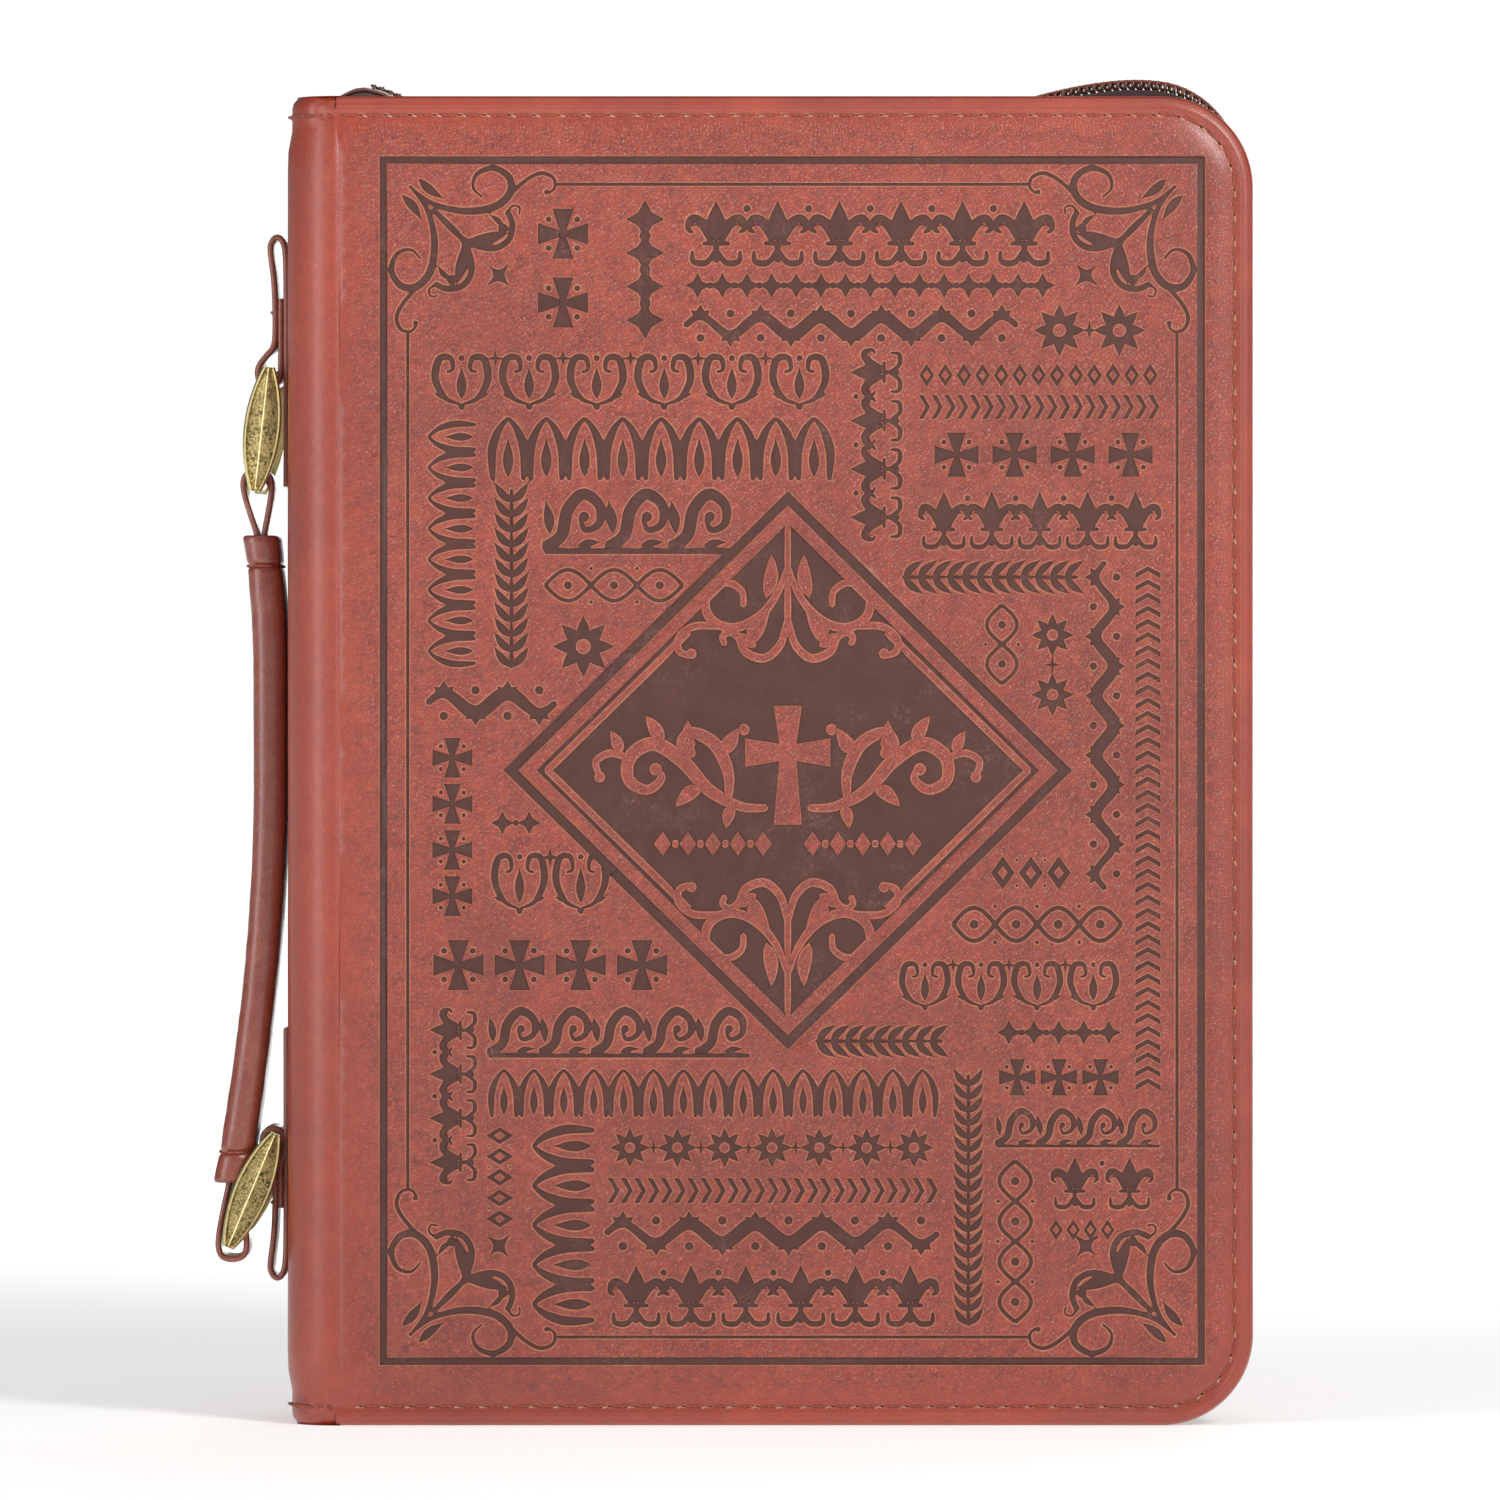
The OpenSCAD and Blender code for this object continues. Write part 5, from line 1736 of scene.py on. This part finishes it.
def loop_path(bar, mouth, dip, wide):
    """Strap from inside the handle, round a bar and back. mouth is where both legs enter."""
    depth = abs(mouth.y - bar.y)
    axis = (bar - mouth).normalized()
    across = Vector((axis.y, -axis.x))

    def at(side, along):
        return tuple(mouth + axis * along + across * side)
    points = [at(-0.62, -5), at(-0.66, 0), at(-wide * 0.62, depth * 0.42),
              at(-wide * 0.95, depth * 0.8), at(-wide, depth + 0.4),
              at(-wide * 0.72, depth + dip * 0.8), at(0, depth + dip),
              at(wide * 0.72, depth + dip * 0.8), at(wide, depth + 0.4),
              at(wide * 0.95, depth * 0.8), at(wide * 0.62, depth * 0.42), at(0.66, 0),
              at(0.62, -5)]
    return curve(points, 0.5)


def build_plate(name, top, low, side, body, node):
    """A long pointed oval: a bright rim round two grainy facets that meet in a ridge."""
    (_, y0, _), (_, y1, _) = size_of(node)
    inner, outer = (y1, y0) if side < 0 else (y0, y1)
    thick = abs(outer - inner)
    length = (top - low).length
    reach = length / 2 + 1.55
    half_w, tip_w = 3.65, 1.15
    big = (reach ** 2 + (half_w - tip_w) ** 2) / (2 * (half_w - tip_w))
    mid, axis = (top + low) / 2, (top - low).normalized()
    across = Vector((axis.y, -axis.x))
    rows, verts, spots = 64, [], []
    rim_w = 0.62

    def add(t, v, h):
        spot = mid + axis * t + across * v
        verts.append((spot.x, inner + side * h, spot.y))
    for i in range(rows + 1):
        t = reach * math.sin(math.pi / 2 * (-1 + 2 * i / rows))
        w = math.sqrt(big * big - t * t) - (big - half_w)
        end = min(1.0, (reach - abs(t)) / 1.0)
        rim = min(rim_w, w * 0.45)
        sink = 0.62 * ease(end)
        for v, h in ((-w + 0.1, 0), (-w, 0.25), (-w, thick - 0.55), (-w + 0.12, thick - 0.18),
                     (-w + 0.32, thick), (-w + rim, thick - 0.06),
                     (-w + rim + 0.12 * ease(end), thick - sink),
                     (-(w - rim) * 0.5, thick - sink * 0.55), (-0.14, thick - sink * 0.12),
                     (0, thick - sink * 0.02), (0.14, thick - sink * 0.12),
                     ((w - rim) * 0.5, thick - sink * 0.55),
                     (w - rim - 0.12 * ease(end), thick - sink), (w - rim, thick - 0.06),
                     (w - 0.32, thick), (w - 0.12, thick - 0.18), (w, thick - 0.55), (w, 0.25),
                     (w - 0.1, 0)):
            if abs(t) > reach - 0.3:
                h = h * 0.86
            add(t, v, h)
    n = 19
    faces = grid_faces(rows + 1, n, True)
    for i in range(rows):
        for j in range(n):
            spots.append(1 if j in (6, 7, 10, 11) and 2 < i < rows - 3 else 0)
    faces += [tuple(range(n - 1, -1, -1)), tuple(rows * n + k for k in range(n))]
    spots += [0, 0]
    if side > 0:
        faces = turned(faces)
    obj = make_piece(name, verts, faces, [M["brass"], M["brass_grain"]], body, "link_brass",
                     [node], spots)
    sharpen(obj, 28)


def build_bars(name, ends, body, node):
    y = size_of(node)[1][1]
    parts = []
    for p in ends:
        path = [Vector((p.x, v, p.y)) for v in (-y, -y + 0.5, -y + 0.9, -7.6, 7.6, y - 0.9,
                                                y - 0.5, y)]
        parts.append(tube(path, [1.5, 1.5, 1.2, 1.15, 1.15, 1.2, 1.5, 1.5], 24))
    obj = make_piece(name, *merge(parts), [M["brass"]], body, "link_brass", [node])
    sharpen(obj, 40)


def build_grip(up_bar, low_bar):
    low, high = size_of("handle_cover")
    z0, z1, half_w = low[2], high[2], high[1]
    half_t, flare = 3.45, 0.35
    base_u = -half_t - 0.3
    bow_up, bow_low = up_bar.x + 0.7 - base_u, low_bar.x - 0.2 - base_u
    bend_up, bend_low = 27, 78

    def mid_u(z):
        u = base_u
        if z > z1 - bend_up:
            u += bow_up * ((z - z1 + bend_up) / bend_up) ** 2
        if z < z0 + bend_low:
            u += bow_low * ((z0 + bend_low - z) / bend_low) ** 1.84
        return u

    def half_a(z):
        return half_t + flare * ((z - (z0 + z1) / 2) / ((z1 - z0) / 2)) ** 4
    seams = (z0 + 6, z1 - 6)

    def swell(z):
        """Pinched at the two seams, full between them."""
        out = 0.0
        for seam in seams:
            out -= 0.5 * math.exp(-((z - seam) / 0.55) ** 2)
            out -= 0.14 * math.exp(-((z - seam) / 3.2) ** 2)
        return out
    cols, verts = 56, []

    def ring(z, shrink):
        a, u = half_a(z) - shrink, mid_u(z)
        straight = half_w - shrink - a
        for k in range(cols):
            t = TAU * k / cols
            c, sn = math.cos(t), math.sin(t)
            # the section is two half rounds joined by flats
            y = (straight + a * abs(sn) ** 0.9) * (1 if sn >= 0 else -1)
            if abs(sn) < 0.5:
                y = (straight * (abs(sn) / 0.5) + a * abs(sn) ** 0.9) * (1 if sn >= 0 else -1)
            x = a * (1 if c >= 0 else -1) * (1 - abs(sn) ** 2.6) ** 0.5
            bump = 0.0
            if shrink < 0.9 and z0 + 1 < z < z1 - 1:
                crease = noise.noise(Vector((y / 9, z / 2.6, 1.7 * (1 if c > 0 else -1))))
                bend = 0.25 + 0.75 * bell((z - z0 - 30) / 42) + 0.5 * bell((z - z1 + 18) / 20)
                bump = 0.13 * crease * bend + 0.05 * noise.noise(Vector((y / 3, z / 8, 4)))
                bump += swell(z)
                if c > 0.3:
                    bump -= 0.4 * math.exp(-((y - 0.6) / 0.35) ** 2)
            scale = 1 + bump / a
            verts.append((u + x * scale, y * (1 + bump / half_w), z))
    rows = [(z0 + 6.0, 1.25), (z0 + 1.5, 1.2), (z0 + 0.25, 1.0), (z0, 0.6), (z0 + 0.25, 0.16),
            (z0 + 0.8, 0.0)]
    z = z0 + 1.4
    while z < z1 - 1.2:
        rows.append((z, 0.0))
        near = min(abs(z - seams[0]), abs(z - seams[1]))
        z += 0.35 if near < 2.0 else 1.1
    rows += [(z1 - 0.8, 0.0), (z1 - 0.25, 0.16), (z1, 0.6), (z1 - 0.25, 1.0), (z1 - 1.5, 1.2),
             (z1 - 6.0, 1.25)]
    for row in rows:
        ring(*row)
    faces = grid_faces(len(rows), cols, True)
    faces += [tuple(range(cols - 1, -1, -1)), tuple((len(rows) - 1) * cols + k
                                                    for k in range(cols))]
    # painted shade: the two caps deep inside the grip's ends are coloured near black
    spots = [0] * (len(faces) - 2) + [1, 1]
    grip = make_piece("handle_grip", verts, faces, [M["grip"], M["hole"]], "handle",
                      "cover_leather", ["handle_cover", "handle_padding"], spots)
    parts = []
    for seam in seams:
        a = half_a(seam) - 0.5
        for face in (-1, 1):
            for i in range(-1, 2):
                centre = Vector((mid_u(seam) + face * (a + 0.02), i * 4.6, seam))
                parts.append(thread_at(centre, Vector((0, 1, 0)), Vector((face, 0, 0)), 3.9,
                                       0.3))
        for face in (-1, 1):
            centre = Vector((mid_u(seam), face * (half_w - 0.5), seam))
            parts.append(thread_at(centre, Vector((1, 0, 0)), Vector((0, face, 0)), 3.4, 0.3))
    make_piece("handle_threads", *merge(parts), [M["thread"]], "handle", "thread",
               ["handle_stitching"])
    return Vector((mid_u(z1), z1)), Vector((mid_u(z0), z0))


def build_handle():
    up_a, up_b = bars_of("upper_link_bars")
    low_d, low_c = bars_of("lower_link_bars")
    mouth_up, mouth_low = build_grip(up_b, low_c)
    strap_piece("handle_loops",
                [loop_path(up_b, mouth_up - Vector((0, 0.4)), 2.55, 2.75),
                 loop_path(low_c - Vector((0, 1.3)), mouth_low + Vector((0.2, 0.4)), 2.75, 2.75)],
                "handle", ["handle_strap"])
    up_low, up_high = size_of("upper_anchor_strap")
    low_low, low_high = size_of("lower_anchor_strap")
    strap_piece("upper_anchor", [anchor_path(up_a, 1, up_low[2], up_high[2] - 1.2,
                                             up_a.y + 15.2)],
                "spine", ["upper_anchor_strap"])
    strap_piece("lower_anchor", [anchor_path(low_d, -1, low_high[2], low_low[2] + 1.2,
                                             low_d.y - 13.5)],
                "spine", ["lower_anchor_strap"])
    parts = []
    for z in (up_a.y + 12.5, low_d.y - 12.5):
        for i in range(-1, 2):
            parts.append(thread_at(Vector((-3.32, i * 4.6, z)), Vector((0, 1, 0)),
                                   Vector((-1, 0, 0)), 3.9, 0.3))
    make_piece("anchor_threads", *merge(parts), [M["thread"]], "spine", "thread",
               ["anchor_stitching"])
    for name, top, low in (("upper", up_a, up_b), ("lower", low_d, low_c)):
        for side, word in ((-1, "front"), (1, "back")):
            build_plate(f"{name}_{word}_plate", top, low, side, name + "_link",
                        f"{name}_link_{word}_plate")
        build_bars(name + "_bars", (top, low), name + "_link", name + "_link_bars")


# ---------- lining, sleeves and Bible ----------

def pad_sheet(outline, pitch, y_face, y_back, side, height, edge=0.7):
    """A soft sheet over an outline: a domed face towards the middle of the case and a flat back.
    side -1 is the front cover's."""
    points = [Vector(p) for p in outline]
    faces_in = [list(range(len(points)))]
    us, zs = [p.x for p in points], [p.y for p in points]
    for k in (0.25, 0.6, 1.0, 1.6):
        centre = Vector(((min(us) + max(us)) / 2, (min(zs) + max(zs)) / 2))
        for p in outline:
            p = Vector(p)
            way = centre - p
            step = Vector((math.copysign(min(abs(way.x), k), way.x),
                           math.copysign(min(abs(way.y), k), way.y)))
            points.append(p + step * edge)
    u = min(us) + pitch
    while u < max(us) - pitch / 2:
        z = min(zs) + pitch
        while z < max(zs) - pitch / 2:
            points.append(Vector((u, z)))
            z += pitch
        u += pitch
    flat, _, tris, _, _, owners = delaunay_2d_cdt(points, [], faces_in, 0, 1e-4)
    tris = [t for t, o in zip(tris, owners) if 0 in o]
    n = len(flat)
    verts = []
    for p in flat:
        d = min(p.x - min(us), max(us) - p.x, p.y - min(zs), max(zs) - p.y)
        dome = 1 - max(0.0, 1 - d / (1.1 * edge)) ** 2
        lift = (abs(y_face) - abs(y_back)) * dome
        verts.append((p.x, side * (abs(y_back) + lift - height(p.x, p.y, d)), p.y))
    verts += [(p.x, side * abs(y_back), p.y) for p in flat]
    faces = [tuple(t) for t in tris] + [tuple(n + k for k in reversed(t)) for t in tris]
    faces += [(b, a, n + a, n + b) for a, b in open_edges(tris)]
    if side > 0:
        faces = turned(faces)
    if abs(y_face) < abs(y_back):
        faces = turned(faces)
    return verts, faces


def rounded_box(u0, z0, u1, z1, r, n=6):
    return [tuple(p) for p in rounded([(u0, z0), (u1, z0), (u1, z1), (u0, z1)], r, n)]


def build_linings():
    for side, name in ((-1, "front"), (1, "back")):
        low, high = size_of(name + "_lining")
        u0, u1 = low[0] - X0, high[0] - X0
        inner = min(abs(low[1]), abs(high[1]))

        def puckers(u, z, d):
            gather = 0.04 * math.exp(-d / 9) * math.sin((u + z) * 0.9)
            return gather - 0.05 * noise.noise(Vector((u / 11, z / 11, side)))
        outline = rounded_box(u0, low[2], u1, high[2], 15, 14)
        verts, faces = pad_sheet(outline, 4.0, inner + 0.02, inner + 0.8, side, puckers, 0.6)
        make_piece(name + "_lining_cloth", verts, faces, [M["lining"]], name + "_cover",
                   "lining", [name + "_lining"])
        low, high = size_of(name + "_sleeve")
        inner = min(abs(low[1]), abs(high[1]))
        left = low[0] - X0
        outline = rounded_box(left, low[2], high[0] - X0, high[2], 3, 6)
        sheet = pad_sheet(outline, 4.0, inner, inner + 0.55, side, lambda u, _z, _d:
                          -0.12 * math.exp(-((u - left - 4) / 0.5) ** 2), 0.5)
        parts = []
        z = low[2] + 4
        while z < high[2] - 4:
            parts.append(thread_at(Vector((left + 4, side * (inner + 0.02), z)),
                                   Vector((0, 0, 1)), Vector((0, -side, 0)), 3.2, 0.2, 5))
            z += 3.8
        verts, faces, spots = join((*sheet, 0), (*merge(parts), 1))
        make_piece(name + "_pocket", verts, faces, [M["lining"], M["thread"]],
                   name + "_cover", "lining", [name + "_sleeve"], spots)
    low, high = size_of("spine_lining")
    outline = rounded_box(low[1], low[2], high[1], high[2], 2, 5)
    verts, faces = pad_sheet(outline, 3.0, high[0] - X0, low[0] - X0, 1, lambda y, z, d:
                             0.06 * noise.noise(Vector((y / 7, z / 9, 5.0))), 0.5)
    make_piece("spine_lining_cloth", [(u, y, z) for y, u, z in verts],
               turned(faces), [M["lining"]], "spine", "lining",
               ["spine_lining"])


def build_pages():
    low, high = size_of("bible_text_block")
    u0, u1, z0, z1, half = low[0] - X0, high[0] - X0, low[2], high[2], high[1]
    layers = 150
    rng = random.Random(11)
    fore = [Vector((u0, z0 + (z1 - z0) * i / 24)) for i in range(25)]
    loop = []
    n_side = 30
    for i in range(n_side):
        loop.append((u0 + (u1 - 0.01 - u0) * i / n_side, z0, 0, -1))
    for i in range(n_side + 8):
        loop.append((u1, z0 + (z1 - z0) * i / (n_side + 8), 1, 0))
    for i in range(n_side):
        loop.append((u1 - (u1 - u0) * i / n_side, z1, 0, 1))
    for i in range(len(fore) - 1):
        loop.append((u0, z1 - (z1 - z0) * i / (len(fore) - 1), -1, 0))
    verts = []
    for j in range(layers + 1):
        y = -half + 2 * half * j / layers
        nudge = rng.uniform(-0.11, 0.0)
        if j % 9 == 0:
            nudge -= 0.12
        hollow = 0.55 * (1 - (y / half) ** 2)
        for u, z, ou, oz in loop:
            deep = -nudge + (hollow if ou > 0 else 0) + 0.05 * (
                1 + noise.noise(Vector((u / 14, y * 1.3, z / 14))))
            back = 1.6 * (abs(y) / half) ** 3 if ou < 0 else 0
            verts.append((u - ou * deep + back, y, z - oz * deep))
    n = len(loop)
    faces = grid_faces(layers + 1, n, True)
    faces += [tuple(range(n - 1, -1, -1)), tuple(layers * n + k for k in range(n))]
    obj = make_piece("bible_pages", verts, faces, [M["pages"]], "back_cover", "book_pages",
                     ["bible_text_block"])
    sharpen(obj, 50)


def build_book():
    build_pages()
    for side, name in ((-1, "front"), (1, "back")):
        low, high = size_of(f"bible_{name}_board")
        inner, outer = sorted((abs(low[1]), abs(high[1])))
        outline = rounded_box(low[0] - X0, low[2], high[0] - X0, high[2], 4, 8)
        axes = (lambda a, b, y: (a, -y, b)) if side < 0 else (lambda a, b, y: (a, y, b))
        verts, faces = prism(outline, inner, outer, axes)
        if side > 0:
            faces = turned(faces)
        board = make_piece(f"bible_{name}_cover", verts, faces, [M["book"]], name + "_cover",
                           "book_cover", [f"bible_{name}_board"])
        soften(board, 0.6, 4)
    low, high = size_of("bible_spine")
    u0, u1, half = low[0] - X0, high[0] - X0, high[1]
    rows, cols = 150, 26
    verts = []
    for i in range(rows + 1):
        z = low[2] + (high[2] - low[2]) * i / rows
        t = i / rows
        ridge = sum(0.45 * math.exp(-((t - c) * 236 / 1.7) ** 2)
                    for c in (0.12, 0.31, 0.5, 0.69, 0.88))
        end = min(z - low[2], high[2] - z)
        tuck = 0.5 * math.exp(-end / 0.7)
        for j in range(cols + 1):
            y = -half + 2 * half * j / cols
            lift = (0.35 + ridge) * math.cos(math.pi / 2 * y / half) ** 0.6 if abs(y) < half else 0
            verts.append((u0 + 0.85 - lift + tuck, y, z))
        for j in range(cols, -1, -1):
            verts.append((u1 - tuck * 0.5, -half + 2 * half * j / cols, z))
    n = 2 * (cols + 1)
    faces = grid_faces(rows + 1, n, True)
    faces += [tuple(range(n - 1, -1, -1)), tuple(rows * n + k for k in range(n))]
    piece = make_piece("bible_back", verts, faces, [M["book"]], "spine", "book_cover",
                       ["bible_spine"])
    sharpen(piece, 50)
    for word in ("head", "tail"):
        low, high = size_of(f"bible_{word}_band")
        u, z = (low[0] + high[0]) / 2 - X0, (low[2] + high[2]) / 2
        path = [Vector((u + 1.2 * (y / high[1]) ** 4, y, z)) for y in
                [-high[1] + 2 * high[1] * i / 110 for i in range(111)]]
        radii = [1.05 + 0.2 * (i % 3 != 0) for i in range(111)]
        band = make_piece(f"bible_{word}_silk", *tube(path, radii, 14), [M["band"]],
                          "back_cover", "book_band", [f"bible_{word}_band"])
        sharpen(band, 60)


def dress_cad():
    """Finishes for the CAD nodes that show as they are."""
    for node, material in (("front_board", "card"), ("back_board", "card"),
                           ("spine_stiffener", "card"),
                           ("bible_front_endpaper", "paper"), ("bible_back_endpaper", "paper")):
        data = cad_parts[node].data
        data.materials.clear()
        data.materials.append(M[material])


make_camera()
M = make_materials()
make_lights()
make_floor()
build_panel("front_leather", -1, "front_cover", ["front_skin", "front_foam"], True)
build_panel("back_leather", 1, "back_cover", ["back_skin", "back_foam"], False)
for side, name in ((-1, "front"), (1, "back")):
    threads, nubs = cover_threads(side)
    # the thread ends take the paler painted highlight colour
    verts, faces, spots = join((*merge(threads), 0), (*merge(nubs), 1))
    make_piece(name + "_threads", verts, faces, [M["thread"], M["nub"]], name + "_cover",
               "thread", [name + "_stitching"], spots)
build_spine()
build_gussets()
build_tapes()
slider_low, slider_high = size_of("slider_body")
build_coils((slider_low[0] + slider_high[0]) / 2 - X0)
build_tabs()
build_slider()
build_handle()
build_linings()
build_book()
dress_cad()
